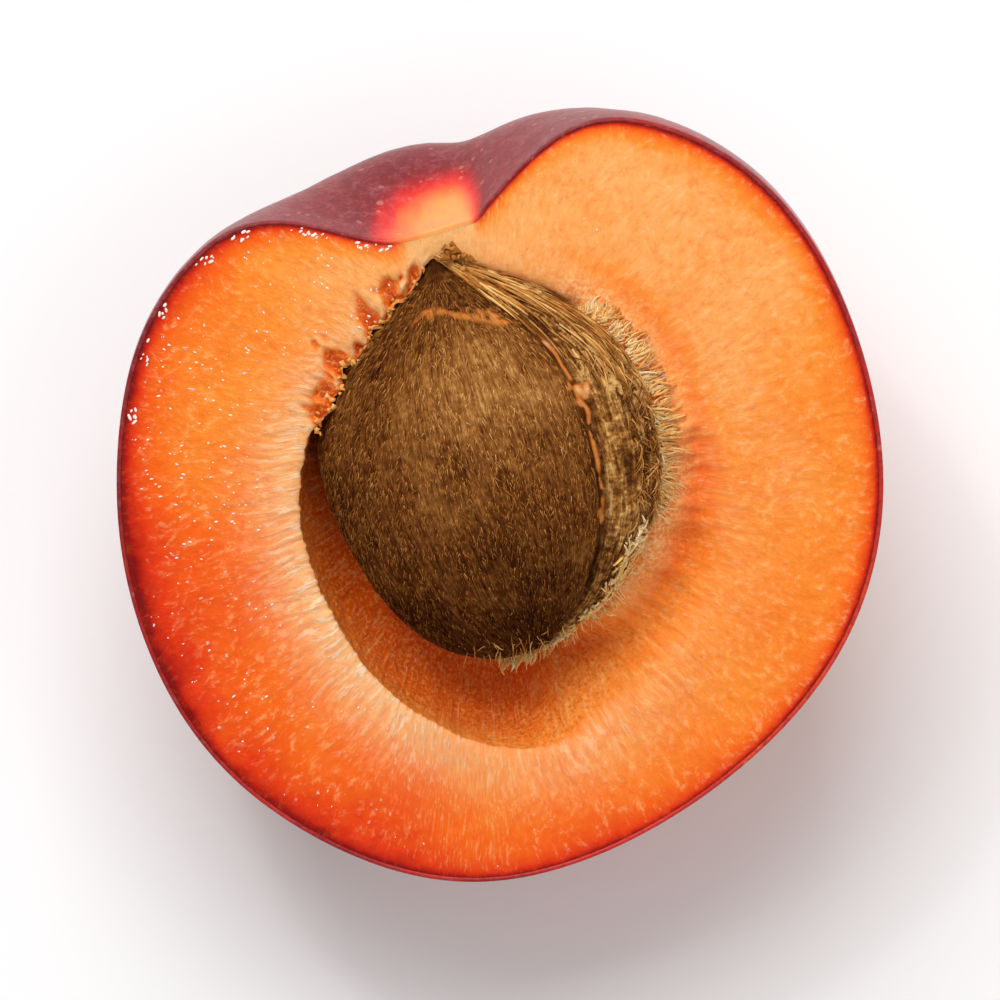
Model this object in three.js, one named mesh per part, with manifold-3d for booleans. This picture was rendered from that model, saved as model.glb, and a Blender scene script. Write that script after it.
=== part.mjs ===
// Half an apricot, cut through the stem along its length, with the stone still in it.
// It lies on its round back, with the cut face up and the stem end raised a little.
//
// Units are millimetres, and angles are degrees. The part's frame has +Z up, and its origin is the middle
// of the small flat spot that the fruit rests on. The shapes are made in the fruit's own frame and turned
// once at the end: +X runs across the cut face, +Y towards the stem end, and +Z out of the cut face. The
// origin of the fruit's frame is the middle of the whole fruit, which lies in the cut.
import * as THREE from "three";
import { mergeVertices } from "three/addons/utils/BufferGeometryUtils.js";
import Module from "manifold-3d";

// Driving dimensions
const FRUIT_HALF_AXES = new THREE.Vector3(25, 25, 23.5); // across, along and through the whole fruit
const FACE_TILT = 12; // how far the stem end is raised from a level cut face
const REST_SPOT_RADIUS = 6; // of the spot that the fruit's own weight has pressed flat
const STEM_ANGLE = 105; // where the stem is, counted from +X round the cut face
const HOLLOW_DEPTH = 8.8; // of the stone's hollow, below the cut face
const HOLLOW_MIDDLE = new THREE.Vector2(-2, 0.5); // where the hollow is deepest
const STONE_LENGTH = 26.6;
const STONE_WIDTH = 22.4;
const STONE_THICKNESS = 12.6;
const STONE_MIDDLE = new THREE.Vector3(-1.1, 3.1, -0.7);
const STONE_LEAN = 15; // how far the stone's point leans away from +Y
const STONE_TURN = 25; // how far the stone's keel is turned up out of the cut face

const { degToRad, radToDeg, clamp, lerp, smoothstep } = THREE.MathUtils;

// A unit vector at an angle round the cut face, and at a height above it (below it when negative).
function direction(angle, height = 0) {
  const level = Math.cos(degToRad(height));
  return new THREE.Vector3(
    level * Math.cos(degToRad(angle)),
    level * Math.sin(degToRad(angle)),
    Math.sin(degToRad(height)),
  );
}

// The skin's swellings and dents: each is a smooth bump round one direction from the fruit's middle.
// Width is in degrees, and a sharpness of 2 gives a bell, while more gives a flatter top and steeper sides.
const SKIN_BUMPS = [
  { name: "stem hollow", towards: direction(STEM_ANGLE, 5), rise: -7.0, width: 22, sharpness: 3.2 },
  { name: "shoulder behind the stem", towards: direction(104, -30), rise: 1.1, width: 15, sharpness: 2 },
  { name: "brow of the high lobe", towards: direction(77, -26), rise: 0.9, width: 13, sharpness: 2 },
  { name: "high lobe beside the stem", towards: direction(56, -10), rise: 2.2, width: 28, sharpness: 2 },
  { name: "low shoulder beside the stem", towards: direction(152, -6), rise: 0.9, width: 18, sharpness: 2 },
  { name: "slimmer flank", towards: direction(308, 0), rise: -1.3, width: 32, sharpness: 2 },
  { name: "fuller flank", towards: direction(225, -8), rise: 0.5, width: 20, sharpness: 2 },
  { name: "fuller blossom end", towards: direction(262, -4), rise: 0.7, width: 22, sharpness: 2 },
  { name: "blossom end's dent", towards: direction(281, -16), rise: -0.8, width: 9, sharpness: 2 },
];

// The suture is a shallow crease from the stem over the round back to the blossom end. It lies in a plane
// through the stem, turned a little from the middle of the back, and grows shallower away from the stem.
const SUTURE = { depth: 1.2, width: 7, turn: 18, fadesFrom: 12, fadesTo: 45, faded: 0.7, starts: 0.25 };

function sutureDepth(towards) {
  const stem = direction(STEM_ANGLE);
  const across = direction(STEM_ANGLE - 90);
  const out = new THREE.Vector3(0, 0, -1)
    .multiplyScalar(Math.cos(degToRad(SUTURE.turn)))
    .addScaledVector(across, Math.sin(degToRad(SUTURE.turn)));
  const side = new THREE.Vector3().crossVectors(stem, out);
  const offPlane = radToDeg(Math.asin(clamp(towards.dot(side), -1, 1)));
  const fade = 1 - SUTURE.faded * smoothstep(radToDeg(towards.angleTo(stem)), SUTURE.fadesFrom, SUTURE.fadesTo);
  const onTheBack = smoothstep(towards.dot(out), 0, SUTURE.starts);
  return SUTURE.depth * fade * onTheBack * Math.exp(-((offPlane / SUTURE.width) ** 2));
}

// The distance from the fruit's middle to its skin, along a unit vector: an oval with the bumps and the suture.
function skinRadius(towards) {
  const oval = 1 / towards.clone().divide(FRUIT_HALF_AXES).length();
  const bumps = SKIN_BUMPS.reduce((sum, bump) => {
    const apart = radToDeg(towards.angleTo(bump.towards));
    return sum + bump.rise * Math.exp(-((apart / bump.width) ** bump.sharpness));
  }, 0);
  return oval + bumps - sutureDepth(towards);
}

function skinPoint(angle, height) {
  const towards = direction(angle, height);
  return towards.multiplyScalar(skinRadius(towards));
}

// A closed surface of rings of points between two poles. The rings run anticlockwise seen from the first pole.
function closedSurface(firstPole, rings, lastPole) {
  const around = rings[0].length;
  const points = [firstPole, ...rings.flat(), lastPole];
  const lastRing = 1 + (rings.length - 1) * around;
  const faces = [];
  for (let i = 0; i < around; i++) {
    const next = (i + 1) % around;
    faces.push(0, 1 + i, 1 + next);
    for (let upper = 1; upper < lastRing; upper += around) {
      const lower = upper + around;
      faces.push(upper + i, lower + i, lower + next);
      faces.push(upper + i, lower + next, upper + next);
    }
    faces.push(points.length - 1, lastRing + next, lastRing + i);
  }
  const geometry = new THREE.BufferGeometry().setFromPoints(points);
  geometry.setIndex(faces);
  return geometry;
}

// The whole fruit, with its poles out of the cut face and at the round back.
function wholeFruit(around = 72, down = 36) {
  const rings = [];
  for (let r = 1; r < down; r++) {
    const height = 90 - (180 * r) / down;
    rings.push(Array.from({ length: around }, (_, i) => skinPoint((360 * i) / around, height)));
  }
  return closedSurface(skinPoint(0, 90), rings, skinPoint(0, -90));
}

// The hollow's edge in the cut face: narrow at the stone's point, wide beside and below the stone.
const HOLLOW_EDGE = [
  [-5.2, 16.4], [-9.0, 11.8], [-11.9, 5.8], [-13.1, -0.6], [-11.3, -7.0], [-7.2, -12.8], [-1.0, -16.2],
  [4.6, -15.8], [10.4, -11.4], [14.6, -5.6], [14.4, 0.8], [12.2, 6.4], [6.9, 11.5], [0.2, 15.4],
].map(([x, y]) => new THREE.Vector3(x, y, 0));

// How square the hollow's walls are: steep from 2 mm on the low shoulder's side of the middle, and a gentle
// slope from 8 mm on the other side.
const WALL = { steep: 4, gentle: 1.35, steepFrom: 2, gentleFrom: -8 };

// The tool that cuts the hollow. Each wall runs from the edge down to the deepest point as a quarter of a
// rounded square, and above the cut face the tool goes straight up.
function hollowTool(around = 48, down = 12, above = 3) {
  const edge = new THREE.CatmullRomCurve3(HOLLOW_EDGE, true, "catmullrom", 0.5);
  const middle = new THREE.Vector3(HOLLOW_MIDDLE.x, HOLLOW_MIDDLE.y, 0);
  const outline = Array.from({ length: around }, (_, i) => edge.getPoint(i / around));
  const wallPoint = (p, drop) => {
    const steepness = smoothstep(middle.x - p.x, WALL.gentleFrom, WALL.steepFrom);
    const squareness = lerp(WALL.gentle, WALL.steep, steepness);
    const share = Math.cos(drop) ** (2 / squareness);
    const depth = Math.sin(drop) ** (2 / squareness);
    return middle.clone().lerp(p, share).setZ(-HOLLOW_DEPTH * depth);
  };
  const rings = [outline.map((p) => p.clone().setZ(above))];
  for (let r = 0; r < down; r++) rings.push(outline.map((p) => wallPoint(p, (Math.PI / 2) * (r / down))));
  return closedSurface(middle.clone().setZ(above), rings, middle.clone().setZ(-HOLLOW_DEPTH));
}

// The stone in its own frame: its point is towards +Y, its keel towards +X, and its flat sides face +Z and -Z.
// Each section across Y is an oval with a blunt, ridged keel on one edge and a thin seam on the other.
// It is drawn out to the point more on the seam's side, and more rounded at the other end there.
const KEEL = { rise: 0.9, width: 24, ridge: 0.28, spacing: 9, point: 1.1, end: 0.5 };
const SEAM = { rise: 0.35, width: 10, point: 1.8, end: -0.3 };

function stonePoint(share, angle) {
  const turn = Math.PI * share;
  const keelward = (1 + Math.cos(degToRad(angle))) / 2;
  const pointed = lerp(SEAM.point, KEEL.point, keelward) * Math.max(0, Math.cos(turn));
  const rounded = lerp(SEAM.end, KEEL.end, keelward) * Math.max(0, -Math.cos(turn));
  const girth = Math.sin(turn) ** (1 + pointed + rounded);
  const fromKeel = Math.abs(((angle + 180) % 360) - 180);
  const ridges = KEEL.ridge * Math.cos((Math.PI * fromKeel) / KEEL.spacing);
  const keel = (KEEL.rise + ridges) * Math.exp(-((fromKeel / KEEL.width) ** 4));
  const seam = SEAM.rise * Math.exp(-(((180 - fromKeel) / SEAM.width) ** 2));
  return new THREE.Vector3(
    (STONE_WIDTH / 2 + keel + seam) * girth * Math.cos(degToRad(angle)),
    (STONE_LENGTH / 2) * Math.cos(turn),
    -(STONE_THICKNESS / 2) * girth * Math.sin(degToRad(angle)),
  );
}

function stoneSurface(around = 48, along = 30) {
  const rings = [];
  for (let r = 1; r < along; r++) {
    rings.push(Array.from({ length: around }, (_, i) => stonePoint(r / along, (360 * i) / around)));
  }
  return closedSurface(stonePoint(0, 0), rings, stonePoint(1, 0));
}

const wasm = await Module();
wasm.setup();

// A closed geometry as a manifold-3d solid.
function solid(geometry) {
  const bare = geometry.clone();
  bare.deleteAttribute("normal");
  bare.deleteAttribute("uv");
  const merged = mergeVertices(bare);
  return new wasm.Manifold(new wasm.Mesh({
    numProp: 3,
    vertProperties: merged.attributes.position.array,
    triVerts: new Uint32Array(merged.index.array),
  }));
}

// A manifold-3d solid as a geometry.
function geometryOf(made) {
  const mesh = made.getMesh();
  const geometry = new THREE.BufferGeometry();
  geometry.setAttribute("position", new THREE.BufferAttribute(mesh.vertProperties, 3));
  geometry.setIndex(new THREE.BufferAttribute(mesh.triVerts, 1));
  geometry.computeVertexNormals();
  return geometry;
}

// Straight down as the fruit lies, in the fruit's own frame.
const down = new THREE.Vector3(0, -Math.sin(degToRad(FACE_TILT)), -Math.cos(degToRad(FACE_TILT)));

// The lowest point of the skin as the fruit lies, in the fruit's own frame, from a search over the back.
function lowestPoint(step = 0.5) {
  let lowest = skinPoint(0, -90);
  for (let height = -90 + step; height < -60; height += step) {
    for (let angle = 0; angle < 360; angle += 4 * step) {
      const point = skinPoint(angle, height);
      if (point.dot(down) > lowest.dot(down)) lowest = point;
    }
  }
  return lowest;
}

// The flat spot is a slice off the lowest point, as deep as a spot of its radius needs.
const lowest = lowestPoint();
const restDistance = lowest.dot(down) - REST_SPOT_RADIUS ** 2 / (2 * lowest.length());
const BLOCK = 80; // side of a cutting block, larger than the fruit

function restTool() {
  return new THREE.BoxGeometry(BLOCK, BLOCK, BLOCK)
    .rotateX(-degToRad(FACE_TILT))
    .translate(...down.clone().multiplyScalar(restDistance + BLOCK / 2).toArray());
}

function faceTool() {
  return new THREE.BoxGeometry(BLOCK, BLOCK, BLOCK).translate(0, 0, BLOCK / 2);
}

// The flesh with its skin, which grew as one piece.
function fruitHalf() {
  const made = solid(wholeFruit())
    .subtract(solid(faceTool()))
    .subtract(solid(hollowTool()))
    .subtract(solid(restTool()));
  const material = new THREE.MeshStandardMaterial({ color: 0xf07a22, roughness: 0.45, metalness: 0 });
  const mesh = new THREE.Mesh(geometryOf(made), material);
  mesh.name = "fruit_half";
  return mesh;
}

function stone() {
  const material = new THREE.MeshStandardMaterial({ color: 0x5a3a1e, roughness: 0.8, metalness: 0 });
  const mesh = new THREE.Mesh(stoneSurface(), material);
  mesh.name = "stone";
  mesh.rotation.set(0, -degToRad(STONE_TURN), degToRad(STONE_LEAN), "ZYX");
  mesh.position.copy(STONE_MIDDLE);
  return mesh;
}

// The fruit is turned to lie on its back, with the flat spot's middle on the origin.
const lying = new THREE.Group();
lying.add(fruitHalf(), stone());
lying.rotation.x = degToRad(FACE_TILT);
const spotMiddle = lowest.clone().applyEuler(lying.rotation);
lying.position.set(-spotMiddle.x, -spotMiddle.y, restDistance);

const apricotHalf = new THREE.Group();
apricotHalf.add(lying);

export default apricotHalf;
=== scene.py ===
"""The looks of half an apricot with its stone, lying on its round back.

Shapes are worked out in millimetres in the fruit's own frame: +X runs across the cut face, +Y towards the
stem end, +Z out of the cut face, and the origin is the middle of the whole fruit. Lie turns them into the
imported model's frame, in metres. Angles are degrees unless a name says otherwise.
"""
import logging
import math
from dataclasses import dataclass
from enum import Enum

import bpy
import numpy as np
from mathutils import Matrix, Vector


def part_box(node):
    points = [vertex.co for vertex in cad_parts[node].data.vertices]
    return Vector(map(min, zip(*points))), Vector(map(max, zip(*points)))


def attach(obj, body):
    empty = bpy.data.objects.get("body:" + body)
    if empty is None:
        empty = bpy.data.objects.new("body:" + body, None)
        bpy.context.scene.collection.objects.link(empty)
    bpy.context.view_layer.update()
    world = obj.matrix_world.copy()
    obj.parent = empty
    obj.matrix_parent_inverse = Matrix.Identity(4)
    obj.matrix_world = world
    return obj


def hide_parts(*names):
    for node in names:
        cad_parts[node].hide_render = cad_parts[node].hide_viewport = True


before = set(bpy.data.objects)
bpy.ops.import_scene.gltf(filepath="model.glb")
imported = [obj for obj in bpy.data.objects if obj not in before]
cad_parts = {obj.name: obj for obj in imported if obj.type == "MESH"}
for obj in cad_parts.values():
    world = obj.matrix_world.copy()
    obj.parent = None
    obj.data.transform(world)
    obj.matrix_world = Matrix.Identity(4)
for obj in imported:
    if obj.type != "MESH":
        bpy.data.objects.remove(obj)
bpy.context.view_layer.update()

BODY = "root"
MM = 0.001
Array = np.ndarray
Piece = bpy.types.Object
Colour = tuple[float, float, float, float]
Socket = bpy.types.NodeSocket
Value = Socket | float
Tint = Socket | Colour
Bundle = tuple[Array, Array, Array, Array, Array]
log = logging.getLogger("apricot_half")


# ---- arithmetic

def smoothstep(values: Array, start: float, end: float) -> Array:
    """A smooth rise from 0 at start to 1 at end.

    Args:
        values: where to read the rise.
        start: where it leaves 0.
        end: where it reaches 1.

    Returns:
        3 t^2 - 2 t^3 of the clamped share t of the way from start to end.
    """
    share = np.clip((values - start) / (end - start), 0.0, 1.0)
    return share * share * (3.0 - 2.0 * share)


def bell(values: Array, width: float, sharpness: float = 2.0) -> Array:
    """A bump of height 1 at 0: e to the minus (values / width) to the power of the sharpness."""
    return np.exp(-(np.abs(values / width) ** sharpness))


def direction(angle: Array | float, height: Array | float) -> Array:
    """Unit vectors at an angle round the cut face and a height above it.

    Args:
        angle: degrees from +X towards +Y.
        height: degrees out of the cut face.

    Returns:
        Vectors in the last axis: (cos h cos a, cos h sin a, sin h).
    """
    a, h = np.broadcast_arrays(np.radians(angle), np.radians(height))
    return np.stack([np.cos(h) * np.cos(a), np.cos(h) * np.sin(a), np.sin(h)], axis=-1)


def angle_from(vectors: Array, axis: Array) -> Array:
    """Degrees between unit vectors and a unit axis: the arc cosine of their dot product."""
    return np.degrees(np.arccos(np.clip(vectors @ axis, -1.0, 1.0)))


def bearing(vectors: Array) -> Array:
    """Degrees from +X towards +Y of vectors, seen from out of the cut face."""
    return np.degrees(np.arctan2(vectors[..., 1], vectors[..., 0]))


def reach_round(curve: Array, around: Array) -> Array:
    """How far a closed curve runs from the origin.

    Args:
        curve: x and y of many points along it.
        around: directions in degrees.

    Returns:
        The curve's distance in each direction, blended between its nearest points.
    """
    return np.interp(around, bearing(curve), np.hypot(*curve.T), period=360.0)


@dataclass(frozen=True)
class Zone:
    """A range of angles with soft ends.

    Attributes:
        start: where its weight starts to rise from 0.
        full: where the weight is 1.
        fades: where it starts to fall.
        end: where it is 0 again.
    """

    start: float
    full: float
    fades: float
    end: float

    def at(self, angle: Array) -> Array:
        """The weight at angles.

        Args:
            angle: degrees, taken round the circle.

        Returns:
            Weights from 0 to 1: one smooth rise times what another leaves.
        """
        middle = (self.start + self.end) / 2.0
        turn = (angle - middle + 180.0) % 360.0 - 180.0 + middle
        return smoothstep(turn, self.start, self.full) * (1.0 - smoothstep(turn, self.fades, self.end))


def lattice(cells: Array, seed: int) -> Array:
    """Random values for whole-number places, the same in each run.

    Args:
        cells: whole numbers, three in the last axis.
        seed: picks one set of values.

    Returns:
        Values from 0 to 1: the three numbers multiplied by large odd numbers, added and bit-mixed.
    """
    mixed = (cells @ np.array([374761393, 668265263, 1440662683]) + seed * 974634777) & 0xFFFFFFFF
    mixed = ((mixed ^ (mixed >> 13)) * 1274126177) & 0xFFFFFFFF
    return ((mixed ^ (mixed >> 16)) & 0xFFFFFF) / 0xFFFFFF


def soft_noise(points: Array, seed: int) -> Array:
    """Smooth noise from -1 to 1, one swell per unit of length.

    Args:
        points: places, three numbers in the last axis.
        seed: picks one pattern.

    Returns:
        The random values at the eight whole-number corners round each point, blended by
        6 t^5 - 15 t^4 + 10 t^3.
    """
    base = np.floor(points).astype(np.int64)
    share = points - base
    share = share**3 * (share * (share * 6.0 - 15.0) + 10.0)
    total = np.zeros(points.shape[:-1])
    for corner in np.ndindex(2, 2, 2):
        weight = np.prod(np.where(np.array(corner, bool), share, 1.0 - share), axis=-1)
        total += weight * lattice(base + np.array(corner), seed)
    return 2.0 * total - 1.0


def rough_noise(points: Array, seed: int, octaves: int = 4) -> Array:
    """Noise with finer and finer swells.

    Args:
        points: places in units of the largest swell.
        seed: picks one pattern.
        octaves: how many sizes of swell, each half as long and half as high as the one before.

    Returns:
        The sum, scaled back to about -1 to 1.
    """
    layers = [soft_noise(points * 2.0**k, seed + k) / 2.0**k for k in range(octaves)]
    return sum(layers) / 1.5


def grain_noise(points: Array, seed: int) -> Array:
    """Round grains.

    Args:
        points: places in units of one grain.
        seed: picks one pattern.

    Returns:
        The distance from each point to the nearest of one random place in each unit cell.
    """
    base = np.floor(points).astype(np.int64)
    nearest = np.full(points.shape[:-1], 9.0)
    for step in np.ndindex(3, 3, 3):
        cell = base + np.array(step) - 1
        place = cell + np.stack([lattice(cell, seed + k) for k in range(3)], axis=-1)
        nearest = np.minimum(nearest, np.linalg.norm(points - place, axis=-1))
    return nearest


# ---- meshes

def add_object(name: str, data: bpy.types.ID) -> bpy.types.Object:
    """A new object of the scene, at the origin."""
    made = bpy.data.objects.new(name, data)
    bpy.context.scene.collection.objects.link(made)
    return made


def make_object(name: str, points: Array, quads: Array, triangles: Array, masks: dict[str, Array]) -> Piece:
    """One smooth-shaded mesh object at the origin.

    Args:
        name: the piece's name.
        points: vertices in metres, in the model's frame.
        quads: four vertex numbers per face.
        triangles: three vertex numbers per face.
        masks: a value per vertex, or three, for each attribute that the materials read.

    Returns:
        The object.
    """
    mesh = bpy.data.meshes.new(name)
    mesh.vertices.add(len(points))
    mesh.vertices.foreach_set("co", points.astype(np.float32).ravel())
    corners = np.concatenate([quads.ravel(), triangles.ravel()]).astype(np.int32)
    sizes = np.concatenate([np.full(len(quads), 4), np.full(len(triangles), 3)])
    mesh.loops.add(len(corners))
    mesh.loops.foreach_set("vertex_index", corners)
    mesh.polygons.add(len(sizes))
    mesh.polygons.foreach_set("loop_start", (np.cumsum(sizes) - sizes).astype(np.int32))
    mesh.update(calc_edges=True)
    mesh.shade_smooth()
    for label, values in masks.items():
        kind, key = ("FLOAT_VECTOR", "vector") if values.ndim == 2 else ("FLOAT", "value")
        attribute = mesh.attributes.new(label, kind, "POINT")
        attribute.data.foreach_set(key, values.astype(np.float32).ravel())
    return add_object(name, mesh)


@dataclass
class Surface:
    """A closed surface: a pole, rings of points that run anticlockwise seen from it, and a last pole."""

    first: Array
    rings: Array
    last: Array

    def normals(self) -> Array:
        """Outward directions at the rings' points.

        Returns:
            Unit vectors: the cross product of the steps down and round.
        """
        ring = (1, *self.rings.shape[1:])
        padded = np.concatenate([
            np.broadcast_to(self.first, ring), self.rings, np.broadcast_to(self.last, ring),
        ])
        down = padded[2:] - padded[:-2]
        around = np.roll(self.rings, -1, axis=1) - np.roll(self.rings, 1, axis=1)
        normal = np.cross(down, around)
        return normal / np.maximum(np.linalg.norm(normal, axis=-1, keepdims=True), 1e-12)

    def raised(self, relief: Array) -> "Surface":
        """The same surface with each ring point moved out along its normal by the relief."""
        return Surface(self.first, self.rings + self.normals() * relief[..., None], self.last)

    def to_object(self, name: str, lie: "Lie", masks: dict[str, Array]) -> Piece:
        """The surface as a mesh object.

        Args:
            name: the piece's name.
            lie: turns the fruit's frame into the model's.
            masks: per ring point, each a value or a vector.

        Returns:
            The object, with every mask as an attribute. A pole takes the mean of its ring.
        """
        count, columns = self.rings.shape[:2]
        number = 1 + np.arange(count * columns).reshape(count, columns)
        beside = np.roll(number, -1, axis=1)
        quads = np.stack([number[:-1], number[1:], beside[1:], beside[:-1]], axis=-1).reshape(-1, 4)
        end = count * columns + 1
        triangles = np.concatenate([
            np.stack([np.zeros(columns, int), number[0], beside[0]], axis=-1),
            np.stack([np.full(columns, end), beside[-1], number[-1]], axis=-1),
        ])
        points = np.concatenate([self.first[None], self.rings.reshape(-1, 3), self.last[None]])
        whole = {}
        for label, values in masks.items():
            flat = values.reshape(count * columns, -1)
            first, last = (row.mean(0)[None] for row in (flat[:columns], flat[-columns:]))
            whole[label] = np.concatenate([first, flat, last]).squeeze()
        return make_object(name, lie.to_model(points), quads, triangles, whole)


# ---- the fruit's form

@dataclass(frozen=True)
class Bump:
    """A swelling or dent of the skin: where it is, and its rise, width and sharpness."""

    angle: float
    height: float
    rise: float
    width: float
    sharpness: float = 2.0

    def lift(self, towards: Array) -> Array:
        """How far the skin is raised in the directions of unit vectors, in millimetres."""
        off = angle_from(towards, direction(self.angle, self.height))
        return self.rise * bell(off, self.width, self.sharpness)


@dataclass(frozen=True)
class FruitForm:
    """The outer form of the whole fruit: an oval with bumps, a suture and a crease.

    Attributes:
        bumps: swellings and dents; the first is the hollow at the stem.
        stem_angle: where the stem was, in degrees round the cut face.
        suture_turn: degrees that the suture is turned from straight down the back.
        crease_angle: where the sharp fold beside the high lobe is, in degrees round the cut face.
        crease_sharpness: how much of a cusp it is: 2 is a round bell, 1 a sharp fold.
        crease_fades: degrees below the cut face between which it fades out.
    """

    half_axes: tuple[float, float, float] = (25.0, 25.0, 23.5)
    bumps: tuple[Bump, ...] = (
        Bump(105.0, 5.0, -7.0, 22.0, 3.2),
        Bump(104.0, -30.0, 1.1, 15.0),
        Bump(77.0, -26.0, 0.9, 13.0),
        Bump(56.0, -10.0, 2.2, 28.0),
        Bump(152.0, -6.0, 0.9, 18.0),
        Bump(308.0, 0.0, -1.3, 32.0),
        Bump(225.0, -8.0, 0.5, 20.0),
        Bump(262.0, -4.0, 0.7, 22.0),
        Bump(281.0, -16.0, -0.8, 9.0),
    )
    stem_angle: float = 105.0
    suture_depth: float = 1.2
    suture_width: float = 7.0
    suture_turn: float = 18.0
    crease_angle: float = 95.0
    crease_depth: float = 0.5
    crease_width: float = 2.4
    crease_sharpness: float = 1.3
    crease_fades: tuple[float, float] = (10.0, 22.0)

    def suture(self, towards: Array) -> Array:
        """How deep the shallow valley from the stem over the back is.

        Args:
            towards: unit vectors from the fruit's middle.

        Returns:
            Millimetres: a bell of the angle off the suture's plane, shallower away from the stem.
        """
        stem = direction(self.stem_angle, 0.0)
        turn = math.radians(self.suture_turn)
        aside, down = direction(self.stem_angle - 90.0, 0.0), np.array([0.0, 0.0, math.cos(turn)])
        out = aside * math.sin(turn) - down
        off = np.degrees(np.arcsin(np.clip(towards @ np.cross(stem, out), -1.0, 1.0)))
        fade = 1.0 - 0.7 * smoothstep(angle_from(towards, stem), 12.0, 45.0)
        return self.suture_depth * fade * smoothstep(towards @ out, 0.0, 0.25) * bell(off, self.suture_width)

    def crease(self, towards: Array) -> Array:
        """How deep the sharp fold beside the high lobe is.

        Args:
            towards: unit vectors from the fruit's middle.

        Returns:
            Millimetres: a cusp across the fold's angle that fades out below the brow.
        """
        off = bearing(towards) - self.crease_angle
        below = np.degrees(np.arcsin(np.clip(-towards[..., 2], -1.0, 1.0)))
        fade = 1.0 - smoothstep(below, *self.crease_fades)
        return self.crease_depth * bell(off, self.crease_width, self.crease_sharpness) * fade

    def radius(self, towards: Array) -> Array:
        """The distance from the fruit's middle to its skin.

        Args:
            towards: unit vectors from the fruit's middle.

        Returns:
            Millimetres: the oval, plus the bumps, less both furrows.
        """
        oval = 1.0 / np.linalg.norm(towards / np.array(self.half_axes), axis=-1)
        bumps = sum(bump.lift(towards) for bump in self.bumps)
        return oval + bumps - self.suture(towards) - self.crease(towards)


@dataclass(frozen=True)
class Lie:
    """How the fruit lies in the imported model: tilted about X, then moved until its box meets the node's.

    Attributes:
        tilt: degrees that the stem end is raised by.
        shift: millimetres that the tilted fruit is moved by.
    """

    tilt: float
    shift: tuple[float, float, float]

    @staticmethod
    def tilted(points: Array, tilt: float) -> Array:
        """Points turned about X.

        Args:
            points: places in the last axis.
            tilt: degrees to turn them by.

        Returns:
            The points, with y and z now y cos t - z sin t and y sin t + z cos t.
        """
        c, s = math.cos(math.radians(tilt)), math.sin(math.radians(tilt))
        x, y, z = points[..., 0], points[..., 1], points[..., 2]
        return np.stack([x, y * c - z * s, y * s + z * c], axis=-1)

    @classmethod
    def from_frame(cls, form: FruitForm, node: str, tilt: float = 12.0, step: float = 5.0) -> "Lie":
        """The lie that lays the form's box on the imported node's box.

        Args:
            form: the fruit's outer form.
            node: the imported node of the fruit.
            tilt: degrees that the stem end is raised by.
            step: degrees between the points that are compared, as far apart as the node's own.

        Returns:
            The lie. Its middle matches across and along, and its highest rim matches in height.
        """
        angle, height = np.meshgrid(np.arange(0.0, 360.0, step), np.arange(-90.0, 0.1, step))
        towards = direction(angle, height)
        points = cls.tilted(towards * form.radius(towards)[..., None], tilt).reshape(-1, 3)
        low, high = (np.array(corner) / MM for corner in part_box(node))
        middle = (low + high) / 2.0 - (points.min(0) + points.max(0)) / 2.0
        return cls(tilt, (middle[0], middle[1], high[2] - points[:, 2].max()))

    def to_model(self, points: Array) -> Array:
        """Points of the fruit's frame, in millimetres, as points of the model's frame, in metres."""
        return (self.tilted(points, self.tilt) + np.array(self.shift)) * MM

    def height_of(self, points: Array) -> Array:
        """How high points of the fruit's frame stand above the surface it lies on, in millimetres."""
        return self.to_model(points)[..., 2] / MM


@dataclass(frozen=True)
class HollowForm:
    """The stone's hollow: an edge in the cut face, and walls down to its deepest point.

    Attributes:
        edge: corners of the edge in the cut face, joined by one smooth closed curve.
        steep: how square the wall is on the low shoulder's side.
        gentle: how square it is on the keel's side.
    """

    edge: tuple[tuple[float, float], ...] = (
        (-5.2, 16.4), (-9.0, 11.8), (-11.9, 5.8), (-13.1, -0.6), (-11.3, -7.0),
        (-7.2, -12.8), (-1.0, -16.2), (4.6, -15.8), (10.4, -11.4), (14.6, -5.6),
        (14.4, 0.8), (12.2, 6.4), (6.9, 11.5), (0.2, 15.4),
    )
    middle: tuple[float, float] = (-2.0, 0.5)
    depth: float = 8.8
    steep: float = 4.0
    gentle: float = 1.35

    def curve(self, samples: int = 2800) -> Array:
        """The edge as many points.

        Args:
            samples: how many in all.

        Returns:
            x and y in the last axis: cubic Hermite curves from corner to corner, with a slope at each that is
            half the step between its neighbours.
        """
        corner = np.array(self.edge)
        place = np.arange(samples) / samples * len(corner)
        k = place.astype(int)
        t = (place - k)[:, None]
        before, here, after, beyond = (corner[(k + n) % len(corner)] for n in (-1, 0, 1, 2))
        slope_here, slope_after = (after - before) / 2.0, (beyond - here) / 2.0
        return (
            here * (2 * t**3 - 3 * t**2 + 1) + slope_here * (t**3 - 2 * t**2 + t)
            + after * (3 * t**2 - 2 * t**3) + slope_after * (t**3 - t**2)
        )

    def reach(self, around: Array) -> Array:
        """How far the edge is from the middle.

        Args:
            around: degrees round the middle.

        Returns:
            Millimetres, read off the curve.
        """
        return reach_round(self.curve() - np.array(self.middle), around)

    def squareness(self, x: Array) -> Array:
        """How square the wall is under each x of the edge."""
        return self.gentle + (self.steep - self.gentle) * smoothstep(self.middle[0] - x, -8.0, 2.0)


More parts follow.
